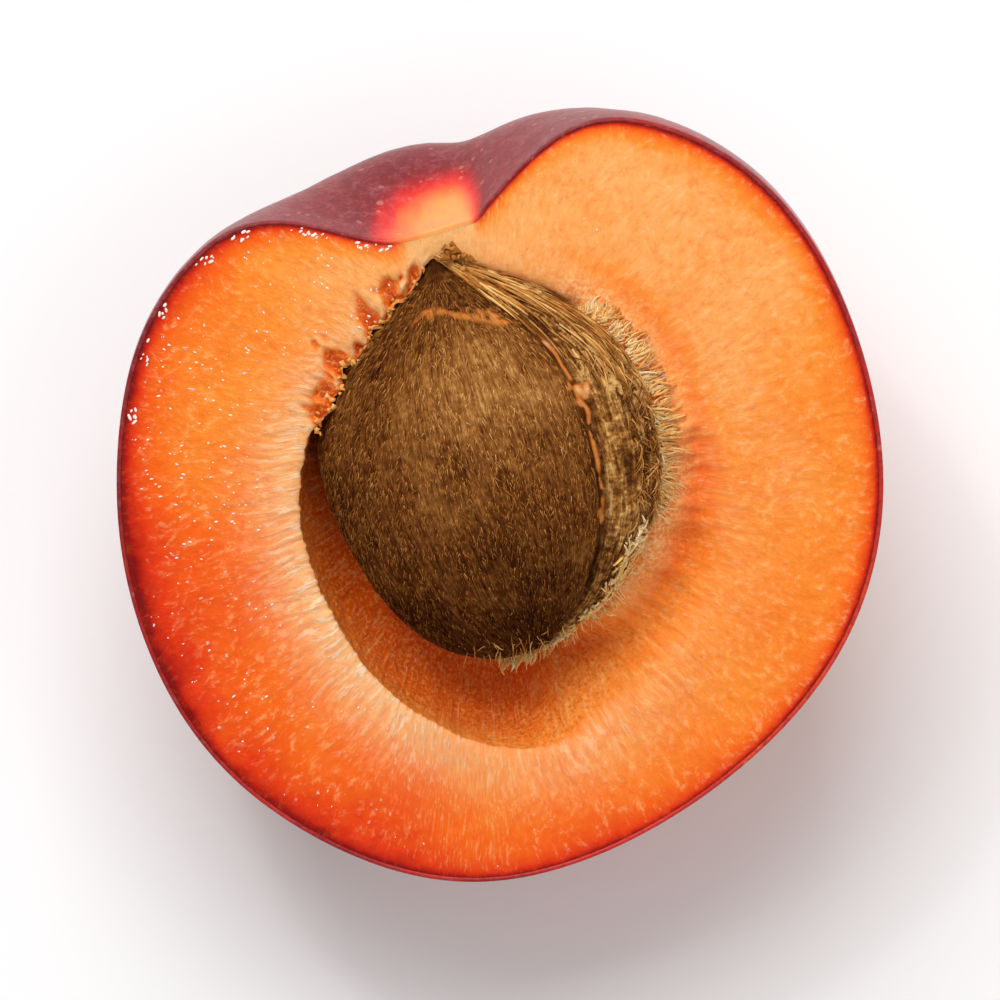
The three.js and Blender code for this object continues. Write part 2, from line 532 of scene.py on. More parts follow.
@dataclass(frozen=True)
class StoneForm:
    """The stone's form: an oval drawn out to a point, a ridged keel on one edge, a seam on the other.

    Attributes:
        lean: degrees that its point is turned to the side in the cut face.
        turn: degrees that its keel is turned up out of the cut face.
        ridge_pitch: degrees from one side of a ridge to the other.
        pointed: how much sharper than an oval the point is, on the seam's side and on the keel's.
        rounded: the same for the blunt end, where less than 0 is blunter.
        groove_at: degrees above the keel where the groove beside it runs.
    """

    length: float = 26.6
    width: float = 22.4
    thickness: float = 12.6
    middle: tuple[float, float, float] = (-1.1, 3.1, -0.7)
    lean: float = 15.0
    turn: float = 25.0
    keel_rise: float = 0.9
    keel_width: float = 24.0
    ridge_rise: float = 0.28
    ridge_pitch: float = 9.0
    seam_rise: float = 0.35
    seam_width: float = 10.0
    pointed: tuple[float, float] = (1.8, 1.1)
    rounded: tuple[float, float] = (-0.3, 0.5)
    groove_at: float = 31.0
    groove_depth: float = 0.45

    def surface(self, columns: int, rings: int) -> tuple[Surface, Array, Array]:
        """The smooth form in the fruit's frame.

        Args:
            columns: points round each ring.
            rings: rings from the point to the blunt end.

        Returns:
            The surface, and for each ring point its angle from the keel, positive below, and its share of
            the length from the point.
        """
        angle = np.arange(columns) * 360.0 / columns
        share = np.linspace(0.03, 0.995, rings)
        angle, share = np.meshgrid(np.where(angle > 180.0, angle - 360.0, angle), share)
        points = self.point(share, angle)
        tip, end = self.point(np.array([0.0, 1.0]), np.array([0.0, 0.0]))
        return Surface(tip, points, end), angle, share

    def point(self, share: Array, angle: Array) -> Array:
        """Points of the form in the fruit's frame.

        Args:
            share: of the length from the point, 0 to 1.
            angle: degrees from the keel.

        Returns:
            Across its length each section is an oval; its girth is the sine of the share to a power that
            sharpens towards the point and more on the seam's side.
        """
        turn = math.pi * share
        keelward = (1.0 + np.cos(np.radians(angle))) / 2.0
        pointed, rounded = (
            (seam_side + (keel_side - seam_side) * keelward) * np.maximum(0.0, near)
            for (seam_side, keel_side), near in ((self.pointed, np.cos(turn)), (self.rounded, -np.cos(turn)))
        )
        girth = np.clip(np.sin(turn), 0.0, 1.0) ** (1.0 + pointed + rounded)
        off = np.abs(angle)
        ridges = self.ridge_rise * np.cos(np.pi * off / self.ridge_pitch)
        keel = (self.keel_rise + ridges) * bell(off, self.keel_width, 4.0)
        seam = self.seam_rise * bell(180.0 - off, self.seam_width)
        x = (self.width / 2.0 + keel + seam) * girth * np.cos(np.radians(angle))
        y = self.length / 2.0 * np.cos(turn)
        z = -self.thickness / 2.0 * girth * np.sin(np.radians(angle))
        b, c = math.radians(self.turn), math.radians(self.lean)
        x, z = x * math.cos(b) - z * math.sin(b), x * math.sin(b) + z * math.cos(b)
        x, y = x * math.cos(c) - y * math.sin(c), x * math.sin(c) + y * math.cos(c)
        return np.stack([x, y, z], axis=-1) + np.array(self.middle)

    @staticmethod
    def step(above: Array) -> Array:
        """Where the dome starts below the point, as a share of the length.

        Args:
            above: degrees from the keel, towards the side that shows.

        Returns:
            The share, greater towards the keel.
        """
        lower = 0.055 * (1.0 - smoothstep(above, 45.0, 80.0))
        return 0.235 + lower + 0.015 * smoothstep(above, 95.0, 125.0)

    def outline(self, centre: tuple[float, float], bins: int = 360) -> tuple[Array, Array, Array]:
        """The outline seen from out of the cut face, about a point inside it.

        Args:
            centre: x and y of the point.
            bins: how many directions.

        Returns:
            The directions in degrees, and for each the outline's distance from the point and its height:
            the farthest of many surface points there, evened out over its nearest neighbours.
        """
        points = self.surface(720, 420)[0].rings.reshape(-1, 3)
        offset = points[:, :2] - np.array(centre)
        reach = np.hypot(offset[:, 0], offset[:, 1])
        around = bearing(offset) % 360.0
        slot = (around / 360.0 * bins).astype(int) % bins
        order = np.argsort(reach)
        far, height = np.zeros(bins), np.zeros(bins)
        far[slot[order]] = reach[order]
        height[slot[order]] = points[order, 2]
        evened = [sum(np.roll(v, n) for n in range(-3, 4)) / 7.0 for v in (far, height)]
        return (np.arange(bins) + 0.5) * 360.0 / bins, evened[0], evened[1]


# ---- materials

def srgb(red: int, green: int, blue: int) -> Colour:
    """A screen colour, 0 to 255 each, as the linear colour that shaders use."""
    parts = (channel / 255.0 for channel in (red, green, blue))
    return (*((c / 12.92 if c <= 0.04045 else ((c + 0.055) / 1.055) ** 2.4) for c in parts), 1.0)


class Board:
    """A node tree, with short ways to add nodes and wire them."""

    def __init__(self, tree: bpy.types.NodeTree) -> None:
        """Keeps the tree."""
        self.tree = tree

    def add(self, kind: str, inputs: dict | None = None, **settings) -> bpy.types.Node:
        """One node.

        Args:
            kind: the node's type name.
            inputs: values or sockets by the input's name or number.
            settings: the node's own properties.

        Returns:
            The node, with its inputs set or wired.
        """
        node = self.tree.nodes.new(kind)
        for name, value in settings.items():
            setattr(node, name, value)
        return self.fill(node, inputs or {})

    def fill(self, node: bpy.types.Node, inputs: dict) -> bpy.types.Node:
        """Sets a node's inputs.

        Args:
            node: any node of the tree.
            inputs: values or sockets by the input's name or number.

        Returns:
            The same node, with each input set to its value or wired to its socket.
        """
        for key, value in inputs.items():
            if isinstance(value, Socket):
                self.tree.links.new(value, node.inputs[key])
            else:
                node.inputs[key].default_value = value
        return node

    def math(self, operation: str, a: Value, b: Value, clamp: bool = False) -> Socket:
        """One step of arithmetic on two values."""
        return self.add("ShaderNodeMath", {0: a, 1: b}, operation=operation, use_clamp=clamp).outputs[0]

    def times(self, a: Value, b: Value, clamp: bool = False) -> Socket:
        """The product of two values."""
        return self.math("MULTIPLY", a, b, clamp)

    def plus(self, a: Value, b: Value, clamp: bool = False) -> Socket:
        """The sum of two values."""
        return self.math("ADD", a, b, clamp)

    def minus(self, a: Value, b: Value) -> Socket:
        """The first value less the second."""
        return self.math("SUBTRACT", a, b)

    def remap(
        self, value: Value, low: float, high: float, to_low: float = 0.0, to_high: float = 1.0
    ) -> Socket:
        """A value moved from one range to another, clamped and eased at both ends."""
        inputs = {"Value": value, "From Min": low, "From Max": high, "To Min": to_low, "To Max": to_high}
        return self.add("ShaderNodeMapRange", inputs, interpolation_type="SMOOTHSTEP").outputs["Result"]

    def mix(self, share: Value, a: Tint, b: Tint) -> Socket:
        """Two colours mixed: all of the first where the share is 0, all of the second where it is 1."""
        return self.add("ShaderNodeMix", {0: share, 6: a, 7: b}, data_type="RGBA").outputs[2]

    def ramp(self, value: Value, stops: list[tuple[float, Colour]]) -> Socket:
        """A colour read off a list of stops.

        Args:
            value: where to read it, from 0 to 1.
            stops: places from 0 to 1, in rising order, and the colour at each.

        Returns:
            The colour, blended straight from stop to stop.
        """
        node = self.add("ShaderNodeValToRGB", {"Fac": value})
        elements = node.color_ramp.elements
        while len(elements) < len(stops):
            elements.new(1.0)
        for element, (place, colour) in zip(elements, stops):
            element.position, element.color = place, colour
        return node.outputs["Color"]

    def mask(self, name: str) -> Socket:
        """The value of one of the mesh's attributes."""
        return self.add("ShaderNodeAttribute", attribute_name=name).outputs["Fac"]

    def vector(self, name: str) -> Socket:
        """The vector of one of the mesh's attributes."""
        return self.add("ShaderNodeAttribute", attribute_name=name).outputs["Vector"]

    def scaled(self, vector: Socket, x: float, y: float, z: float) -> Socket:
        """A vector with each of its parts multiplied."""
        return self.add("ShaderNodeVectorMath", {0: vector, 1: (x, y, z)}, operation="MULTIPLY").outputs[0]

    def place(self) -> Socket:
        """The point on the object, in its own metres."""
        return self.add("ShaderNodeTexCoord").outputs["Object"]

    def noise(
        self, vector: Socket, scale: float, detail: float = 4.0, roughness: float = 0.55
    ) -> Socket:
        """Noise from 0 to 1."""
        inputs = {"Vector": vector, "Scale": scale, "Detail": detail, "Roughness": roughness}
        return self.add("ShaderNodeTexNoise", inputs).outputs["Fac"]

    def group(self, tree: bpy.types.NodeTree, vector: Socket, **values: float) -> bpy.types.Node:
        """A shared group read at a vector, with its own values here."""
        return self.fill(self.add("ShaderNodeGroup", node_tree=tree), {"Vector": vector, **values})


def new_group(
    name: str, inputs: dict[str, float | str], outputs: dict[str, str]
) -> tuple[bpy.types.NodeTree, Board]:
    """An empty shader group with named sockets.

    Args:
        name: the group's name.
        inputs: each socket's default number, or "vector".
        outputs: each socket's kind, "NodeSocketFloat" or "NodeSocketColor".

    Returns:
        The tree, and its board with nodes called in and out.
    """
    tree = bpy.data.node_groups.new(name, "ShaderNodeTree")
    for label, default in inputs.items():
        kind = "NodeSocketVector" if default == "vector" else "NodeSocketFloat"
        socket = tree.interface.new_socket(label, in_out="INPUT", socket_type=kind)
        if default != "vector":
            socket.default_value = default
    for label, kind in outputs.items():
        tree.interface.new_socket(label, in_out="OUTPUT", socket_type=kind)
    board = Board(tree)
    tree.nodes.new("NodeGroupInput").name = "in"
    tree.nodes.new("NodeGroupOutput").name = "out"
    return tree, board


class Effects:
    """The shader groups that more than one material uses."""

    def __init__(self) -> None:
        """Builds each group once."""
        self.flecks = self.make_flecks()
        self.mottle = self.make_mottle()

    @staticmethod
    def make_flecks() -> bpy.types.NodeTree:
        """Small spots strewn over a surface.

        Returns:
            The group. Spots is 1 in a spot, and only a share of the cells hold one.
        """
        inputs = {"Vector": "vector", "Scale": 1000.0, "Size": 0.3, "Share": 0.5, "Softness": 0.1}
        tree, board = new_group("flecks", inputs, {"Spots": "NodeSocketFloat"})
        into, out = tree.nodes["in"].outputs, tree.nodes["out"].inputs
        cells = board.add("ShaderNodeTexVoronoi", {"Vector": into["Vector"], "Scale": into["Scale"]})
        chance = board.add("ShaderNodeSeparateColor", {"Color": cells.outputs["Color"]})
        kept = board.math("LESS_THAN", chance.outputs["Red"], into["Share"])
        size = board.times(into["Size"], board.plus(chance.outputs["Green"], 0.4))
        rest = board.math("DIVIDE", board.minus(size, cells.outputs["Distance"]), into["Softness"])
        spot = board.times(board.math("MINIMUM", board.math("MAXIMUM", rest, 0.0), 1.0), kept)
        tree.links.new(spot, out["Spots"])
        return tree

    @staticmethod
    def make_mottle() -> bpy.types.NodeTree:
        """Uneven patches at two sizes.

        Returns:
            The group. Patches is a mix of both sizes from 0 to 1, and Fine is the smaller one alone.
        """
        inputs = {"Vector": "vector", "Scale": 100.0, "Fineness": 6.0, "Balance": 0.5}
        tree, board = new_group("mottle", inputs, {"Patches": "NodeSocketFloat", "Fine": "NodeSocketFloat"})
        into, out = tree.nodes["in"].outputs, tree.nodes["out"].inputs
        finer = board.times(into["Scale"], into["Fineness"])
        large, small = (
            board.add("ShaderNodeTexNoise", {"Vector": into["Vector"], "Scale": scale, "Detail": detail})
            .outputs["Fac"] for scale, detail in ((into["Scale"], 3.0), (finer, 4.0))
        )
        both = board.plus(large, board.times(board.minus(small, large), into["Balance"]))
        tree.links.new(both, out["Patches"])
        tree.links.new(small, out["Fine"])
        return tree


def new_material(name: str) -> tuple[bpy.types.Material, Board, bpy.types.Node]:
    """A material with an unwired Principled BSDF.

    Args:
        name: the finish's name.

    Returns:
        The material, its board and the Principled BSDF.
    """
    material = bpy.data.materials.new(name)
    material.use_nodes = True
    return material, Board(material.node_tree), material.node_tree.nodes["Principled BSDF"]


@dataclass(frozen=True)
class FleshFinish:
    """Wet apricot flesh: pale near the stone, orange, then red towards the skin, with radial fibres.

    Attributes:
        scatter: how far light runs in the flesh, in metres.
    """

    scatter: float = 0.0008
    scatter_share: float = 0.35
    dry: float = 0.45
    wet: float = 0.24

    def make(self, effects: Effects) -> bpy.types.Material:
        """The material.

        Args:
            effects: the shared groups.

        Returns:
            A material that reads the masks ripe, cream, wet, hollow, deep and collar and the vector fibre;
            deep paints shade into the hollow's colour.
        """
        material, board, shader = new_material("apricot_flesh")
        place, fibre = board.place(), board.vector("fibre")
        mottle = board.group(effects.mottle, place, Scale=180.0, Fineness=7.0, Balance=0.45)
        bold = board.noise(board.scaled(fibre, 0.95, 0.95, 0.95), 1.0, 3.0, 0.65)
        strokes = board.times(board.remap(bold, 0.5, 0.62), board.mask("cream"))
        gaps = board.times(board.remap(bold, 0.5, 0.38), board.mask("cream"))
        grain = board.noise(board.scaled(fibre, 0.95, 0.95, 1.5), 1.0, 4.0, 0.7)
        light, shade = board.remap(grain, 0.5, 0.7), board.remap(grain, 0.5, 0.32)
        uneven = board.times(board.minus(mottle.outputs["Patches"], 0.5), 0.4)
        ripe = board.plus(board.mask("ripe"), uneven, clamp=True)
        colour = board.ramp(ripe, [
            (0.0, srgb(254, 184, 112)), (0.25, srgb(253, 146, 48)), (0.5, srgb(247, 106, 22)),
            (0.74, srgb(228, 56, 12)), (0.92, srgb(176, 22, 10)), (1.0, srgb(132, 14, 12)),
        ])
        colour = board.mix(board.times(board.mask("cream"), 0.85), colour, srgb(254, 200, 140))
        # Painted shade: the hollow's colour darkens and reddens with the deep mask
        inside = board.ramp(board.plus(board.mask("deep"), board.times(uneven, 1.2)), [
            (0.0, srgb(250, 142, 52)), (0.25, srgb(246, 128, 42)), (0.5, srgb(242, 116, 36)),
            (0.8, srgb(236, 100, 22)), (1.0, srgb(204, 72, 8)),
        ])
        crumbs = board.noise(place, 3800.0, 2.0, 0.7)
        inside = board.mix(board.remap(crumbs, 0.52, 0.68, 0.0, 0.6), inside, srgb(253, 180, 92))
        inside = board.mix(board.remap(crumbs, 0.48, 0.34, 0.0, 0.5), inside, srgb(190, 68, 8))
        colour = board.mix(board.mask("hollow"), colour, inside)
        pulp = board.mix(board.remap(crumbs, 0.4, 0.62), srgb(244, 138, 52), srgb(255, 202, 140))
        colour = board.mix(board.mask("collar"), colour, pulp)
        calm = board.remap(ripe, 0.85, 0.6)
        colour = board.mix(board.times(board.times(light, calm), 0.34), colour, srgb(255, 210, 142))
        colour = board.mix(board.times(shade, 0.26), colour, srgb(226, 90, 14))
        colour = board.mix(board.times(strokes, 0.5), colour, srgb(255, 236, 208))
        colour = board.mix(board.times(gaps, 0.3), colour, srgb(238, 122, 44))
        drawn_out = board.scaled(fibre, 1.0, 1.0, 2.1)
        wavy = board.add("ShaderNodeVectorMath", {0: drawn_out, 1: grain}, operation="ADD")
        flecks = board.group(effects.flecks, wavy.outputs[0], Scale=0.8, Size=0.2, Share=0.34)
        # Painted highlight: pale flecks on the wet flesh are painted glints; they also raise the coat gloss
        # and the bump
        beads = board.times(board.times(flecks.outputs["Spots"], board.mask("wet")), calm)
        colour = board.mix(board.times(beads, 0.6), colour, srgb(255, 224, 206))
        rough = board.remap(board.mask("wet"), 0.0, 1.0, self.dry, self.wet)
        gloss = board.times(beads, 0.6, clamp=True)
        cells = board.noise(place, 2300.0, 3.0, 0.6)
        height = board.plus(board.times(cells, 0.5), board.times(grain, 0.9))
        height = board.plus(height, board.times(strokes, 0.6))
        height = board.plus(height, board.times(beads, 0.8))
        bump = board.add("ShaderNodeBump", {"Height": height, "Strength": 0.7, "Distance": 0.00012})
        board.fill(shader, {
            "Base Color": colour, "Roughness": rough, "Normal": bump.outputs["Normal"],
            "Subsurface Weight": self.scatter_share, "Subsurface Scale": self.scatter,
            "Subsurface Radius": (1.0, 0.38, 0.14), "Specular IOR Level": 0.12, "Coat Weight": gloss,
            "Coat Roughness": 0.12,
        })
        return material


@dataclass(frozen=True)
class SkinFinish:
    """Downy skin: orange where shaded, crimson and purple where the sun was, pale in the stem hollow.

    Attributes:
        down: how much light the skin's short hairs catch.
        down_spread: how softly they catch it.
        down_tint: the colour of that light.
    """

    roughness: float = 0.44
    scatter: float = 0.0006
    down: float = 0.4
    down_spread: float = 0.26
    down_tint: Colour = (1.0, 0.84, 0.84, 1.0)

    def make(self, effects: Effects) -> bpy.types.Material:
        """The material.

        Args:
            effects: the shared groups.

        Returns:
            A material that reads the masks blush and stem.
        """
        material, board, shader = new_material("apricot_skin")
        place = board.place()
        mottle = board.group(effects.mottle, place, Scale=130.0, Fineness=9.0, Balance=0.4)
        uneven = board.times(board.minus(mottle.outputs["Patches"], 0.5), 0.5)
        blush = board.plus(board.mask("blush"), uneven, clamp=True)
        colour = board.ramp(blush, [
            (0.0, srgb(240, 150, 52)), (0.25, srgb(236, 98, 32)), (0.45, srgb(206, 42, 26)),
            (0.68, srgb(158, 18, 18)), (0.85, srgb(134, 20, 24)), (1.0, srgb(122, 26, 32)),
        ])
        pale = board.ramp(board.mask("stem"), [
            (0.0, srgb(124, 18, 24)), (0.25, srgb(184, 18, 26)), (0.45, srgb(226, 44, 32)),
            (0.65, srgb(246, 108, 50)), (0.85, srgb(252, 152, 76)), (1.0, srgb(252, 164, 86)),
        ])
        colour = board.mix(board.remap(board.mask("stem"), 0.02, 0.3), colour, pale)
        dots = board.group(effects.flecks, place, Scale=900.0, Size=0.34, Share=0.35, Softness=0.2)
        dotted = board.times(dots.outputs["Spots"], board.remap(board.mask("stem"), 0.3, 0.0, 0.0, 0.35))
        colour = board.mix(dotted, colour, srgb(120, 20, 24))
        freckles = board.group(effects.flecks, place, Scale=1500.0, Size=0.3, Share=0.25)
        colour = board.mix(board.times(freckles.outputs["Spots"], 0.25), colour, srgb(240, 170, 140))
        powder = board.noise(place, 3600.0, 3.0, 0.7)
        bloom = board.remap(board.times(mottle.outputs["Fine"], powder), 0.18, 0.44, 0.0, 0.3)
        colour = board.mix(board.times(bloom, board.mask("blush")), colour, srgb(206, 118, 116))
        streaks = board.noise(board.scaled(place, 1.0, 1.0, 0.5), 2600.0, 4.0, 0.7)
        streaked = board.remap(streaks, 0.46, 0.66)
        dusk = board.times(streaked, board.remap(board.mask("stem"), 0.4, 0.0, 0.0, 0.5))
        colour = board.mix(dusk, colour, srgb(92, 20, 30))
        height = board.plus(mottle.outputs["Fine"], powder)
        bump = board.add("ShaderNodeBump", {"Height": height, "Strength": 0.35, "Distance": 0.00006})
        board.fill(shader, {
            "Base Color": colour, "Roughness": self.roughness, "Normal": bump.outputs["Normal"],
            "Subsurface Weight": 0.1, "Subsurface Scale": self.scatter,
            "Subsurface Radius": (1.0, 0.3, 0.15), "Sheen Weight": self.down,
            "Sheen Roughness": self.down_spread, "Sheen Tint": self.down_tint, "Specular IOR Level": 0.3,
        })
        return material


@dataclass(frozen=True)
class StoneFinish:
    """The stone's dry shell: dark brown grains with paler felt, and a straw-coloured ridged keel."""

    roughness: float = 0.78

    def make(self, effects: Effects) -> bpy.types.Material:
        """The material.

        Args:
            effects: the shared groups.

        Returns:
            A material that reads the masks relief, keel, groove, low and scrap and the vector grain. groove
            and low paint shade into the colour, and low also a highlight.
        """
        material, board, shader = new_material("stone_shell")
        place, grain = board.place(), board.vector("grain")
        mottle = board.group(effects.mottle, place, Scale=220.0, Fineness=9.0, Balance=0.6)
        felt = board.noise(board.scaled(grain, 2.4, 2.4, 1.0), 1.0, 3.0, 0.6)
        tone = board.plus(board.times(felt, 0.5), board.times(mottle.outputs["Patches"], 0.5))
        tone = board.plus(tone, board.times(board.minus(board.mask("relief"), 0.5), 0.24))
        # Painted shade and highlight: the low mask darkens the stone towards the blunt end and far side and
        # lightens it at the painted highlight
        tone = board.minus(tone, board.times(board.mask("low"), 0.14))
        colour = board.ramp(tone, [
            (0.28, srgb(46, 16, 4)), (0.42, srgb(92, 48, 16)), (0.53, srgb(130, 78, 34)),
            (0.63, srgb(164, 110, 54)), (0.75, srgb(208, 158, 96)),
        ])
        speckle = board.minus(board.noise(place, 2600.0, 3.0, 0.7), 0.5)
        straw = board.ramp(board.plus(tone, board.times(speckle, 0.7)), [
            (0.3, srgb(74, 40, 14)), (0.44, srgb(124, 76, 34)), (0.54, srgb(172, 116, 56)),
            (0.68, srgb(226, 178, 108)),
        ])
        colour = board.mix(board.mask("keel"), colour, straw)
        # Painted shade: the groove beside the keel is painted dark brown
        colour = board.mix(board.mask("groove"), colour, srgb(46, 20, 8))
        scrap = board.ramp(board.mask("scrap"), [(0.4, srgb(206, 120, 48)), (0.85, srgb(240, 184, 124))])
        colour = board.mix(board.remap(board.mask("scrap"), 0.12, 0.42), colour, scrap)
        height = board.plus(felt, board.times(mottle.outputs["Fine"], 0.8))
        bump = board.add("ShaderNodeBump", {"Height": height, "Strength": 0.9, "Distance": 0.0002})
        board.fill(shader, {
            "Base Color": colour, "Roughness": self.roughness, "Normal": bump.outputs["Normal"],
            "Specular IOR Level": 0.03,
        })
        return material


@dataclass(frozen=True)
class StrandFinish:
    """Torn flesh fibres or straw: a colour from each strand's own tone."""

    name: str
    dark: Colour
    middle: Colour
    pale: Colour
    roughness: float = 0.6
    scatter_share: float = 0.0
    scatter: float = 0.0004

    def make(self) -> bpy.types.Material:
        """The material.

        Returns:
            A material that reads the mask tone.
        """
        material, board, shader = new_material(self.name)
        uneven = board.times(board.minus(board.noise(board.place(), 2500.0), 0.5), 0.5)
        tone = board.plus(board.mask("tone"), uneven, clamp=True)
        board.fill(shader, {
            "Base Color": board.ramp(tone, [(0.0, self.dark), (0.5, self.middle), (1.0, self.pale)]),
            "Roughness": self.roughness, "Specular IOR Level": 0.04,
            "Subsurface Weight": self.scatter_share, "Subsurface Scale": self.scatter,
            "Subsurface Radius": (1.0, 0.55, 0.3),
        })
        return material


@dataclass(frozen=True)
class JuiceFinish:
    """Juice that catches the light: smooth, with a near-white colour that is a painted highlight for its
    glints.
    """

    # Painted highlight: a near-white colour standing in for the glints of clear juice
    colour: Colour = srgb(255, 238, 224)
    roughness: float = 0.05
    refraction: float = 1.35

    def make(self) -> bpy.types.Material:
        """The material, the same all over."""
        material, board, shader = new_material("juice")
        board.fill(shader, {"Base Color": self.colour, "Roughness": self.roughness, "IOR": self.refraction})
        return material


# ---- sub-assemblies

def finish_piece(piece: Piece, material: bpy.types.Material, slot: str, *nodes: str) -> None:
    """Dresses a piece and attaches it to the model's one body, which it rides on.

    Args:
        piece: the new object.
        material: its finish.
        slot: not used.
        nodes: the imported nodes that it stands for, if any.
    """
    piece.data.materials.append(material)
    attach(piece, BODY)
    if nodes:
        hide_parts(*nodes)
    log.info("%s: %d faces", piece.name, len(piece.data.polygons))


@dataclass
class Skin:
    """The skin: a thin closed shell over the round back, whose edge shows round the cut.

    Attributes:
        lip: how far in from the outside and how far proud of the cut each ring over the edge is.
        tucked: how far the last ring of the inside is below the cut.
        level: directions where the lip lies level with the cut, at the stem.
    """

    form: FruitForm
    lie: Lie
    thickness: float = 0.32
    columns: int = 480
    inner_rings: int = 10
    outer_rings: int = 118
    lip: tuple[tuple[float, float], ...] = ((0.30, 0.0), (0.2, 0.04), (0.1, 0.04), (0.02, -0.02))
    tucked: float = 0.1
    level: Zone = Zone(92.0, 96.0, 109.0, 114.0)

    def fine_relief(self, towards: Array) -> Array:
        """Slow dents and swells of the skin.

        Args:
            towards: unit vectors from the fruit's middle.

        Returns:
            Millimetres: three sizes of noise that fade out towards the cut.
        """
        swells = 0.10 * soft_noise(towards * 4.2, 11) + 0.045 * soft_noise(towards * 11.0, 12)
        dimples = 0.018 * soft_noise(towards * 42.0, 13)
        return (swells + dimples) * smoothstep(-towards[..., 2], 0.0, 0.25)

    def blush(self, towards: Array) -> Array:
        """How red and purple the skin is, from 0 to 1.

        Args:
            towards: unit vectors from the fruit's middle.

        Returns:
            Most at the stem and the low shoulder, less on the back, least on the shaded flank.
        """
        shaded = bell(angle_from(towards, direction(332.0, -42.0)), 46.0, 2.4)
        second = bell(angle_from(towards, direction(205.0, -58.0)), 24.0)
        shoulder = bell(angle_from(towards, direction(122.0, -20.0)), 58.0, 3.0)
        streaky = 0.10 * soft_noise(towards * np.array([5.0, 5.0, 2.0]), 21)
        return np.clip(0.66 + 0.3 * shoulder - 0.62 * shaded - 0.34 * second + streaky, 0.0, 1.0)

    @staticmethod
    def stem_glow(points: Array) -> Array:
        """How pale the skin is where the stem was.

        Args:
            points: places on the skin, in the fruit's frame.

        Returns:
            From 0 to 1: a quarter disc beside the crease, with soft and ragged edges.
        """
        across, along = points[..., 0], points[..., 1] - 0.14 * points[..., 2]
        ragged = 0.3 * soft_noise(points / np.array([0.6, 1.5, 1.5]), 22) + 0.5 * soft_noise(points / 2.6, 23)
        away = np.hypot((across + 2.0) * 0.9, (along - 17.0) * 1.08) + ragged
        down = np.clip(-points[..., 2] / 8.0, 0.0, 1.0)
        beside = smoothstep(across + 0.25 * ragged, -2.3 - 3.0 * down, -0.9 + 1.5 * down)
        near = (1.0 - smoothstep(away, 2.0, 7.4)) * (1.0 - beside)
        return near * smoothstep(points[..., 2] + ragged, -10.0, -3.8)

    def build(self) -> Piece:
        """The shell: up the inside from its lowest point, over the lip at the cut, and down the outside.

        Returns:
            The piece, with the masks blush and stem.
        """
        lip = np.array(self.lip)
        outside = np.zeros(self.outer_rings)
        inner = -90.0 * (1.0 - (np.arange(self.inner_rings) + 1.0) / self.inner_rings)
        outer = -90.0 * (np.arange(self.outer_rings) + 1.0) / (self.outer_rings + 1.0)
        heights = np.concatenate([inner, np.zeros(len(lip)), outer])
        inset = np.concatenate([np.full(self.inner_rings, self.thickness), lip[:, 0], outside])
        proud = np.concatenate([np.zeros(self.inner_rings - 1), [-self.tucked], lip[:, 1], outside])
        angles, heights = np.meshgrid(np.arange(self.columns) * 360.0 / self.columns, heights)
        towards = direction(angles, heights)
        radius = self.form.radius(towards) + self.fine_relief(towards) - inset[:, None]
        rings = towards * radius[..., None]
        rings[..., 2] += proud[:, None] * (1.0 - self.level.at(angles))
        rings = self.pressed(rings, inset)
        masks = {"blush": self.blush(towards), "stem": self.stem_glow(rings)}
        first, last = self.lowest(self.thickness), self.lowest(0.0)
        return Surface(first, rings, last).to_object("skin", self.lie, masks)

    def lowest(self, inset: float) -> Array:
        """The point straight below the fruit's middle.

        Args:
            inset: how deep in the wall it is.

        Returns:
            Its place in the fruit's frame.
        """
        pole = direction(0.0, -90.0)
        point = pole * (self.form.radius(pole) - inset)
        return self.pressed(point[None, None], np.array([inset]))[0, 0]

    def pressed(self, rings: Array, inset: Array) -> Array:
        """Points kept at or above the surface that the fruit lies on.

        Args:
            rings: points as ring, column, coordinate, in the fruit's frame.
            inset: how deep in the wall each ring is.

        Returns:
            The points, with any that are lower than their depth in the wall moved straight up to it.
        """
        low = np.minimum(self.lie.height_of(rings) - inset[:, None], 0.0)
        up = self.lie.tilted(np.array([0.0, 0.0, 1.0]), -self.lie.tilt)
        return rings - low[..., None] * up


class Side(Enum):
    """Parts of the cut face, by the direction from the fruit's middle."""

    LEFT = Zone(115.0, 150.0, 190.0, 225.0)
    LOW_LEFT = Zone(165.0, 205.0, 238.0, 270.0)
    BOTTOM = Zone(235.0, 260.0, 285.0, 330.0)
    RIGHT = Zone(290.0, 325.0, 360.0, 420.0)
    KEEL = Zone(-10.0, 5.0, 25.0, 60.0)
    SHOULDER = Zone(104.0, 110.0, 150.0, 165.0)
    STEM = Zone(93.5, 96.0, 109.0, 114.0)


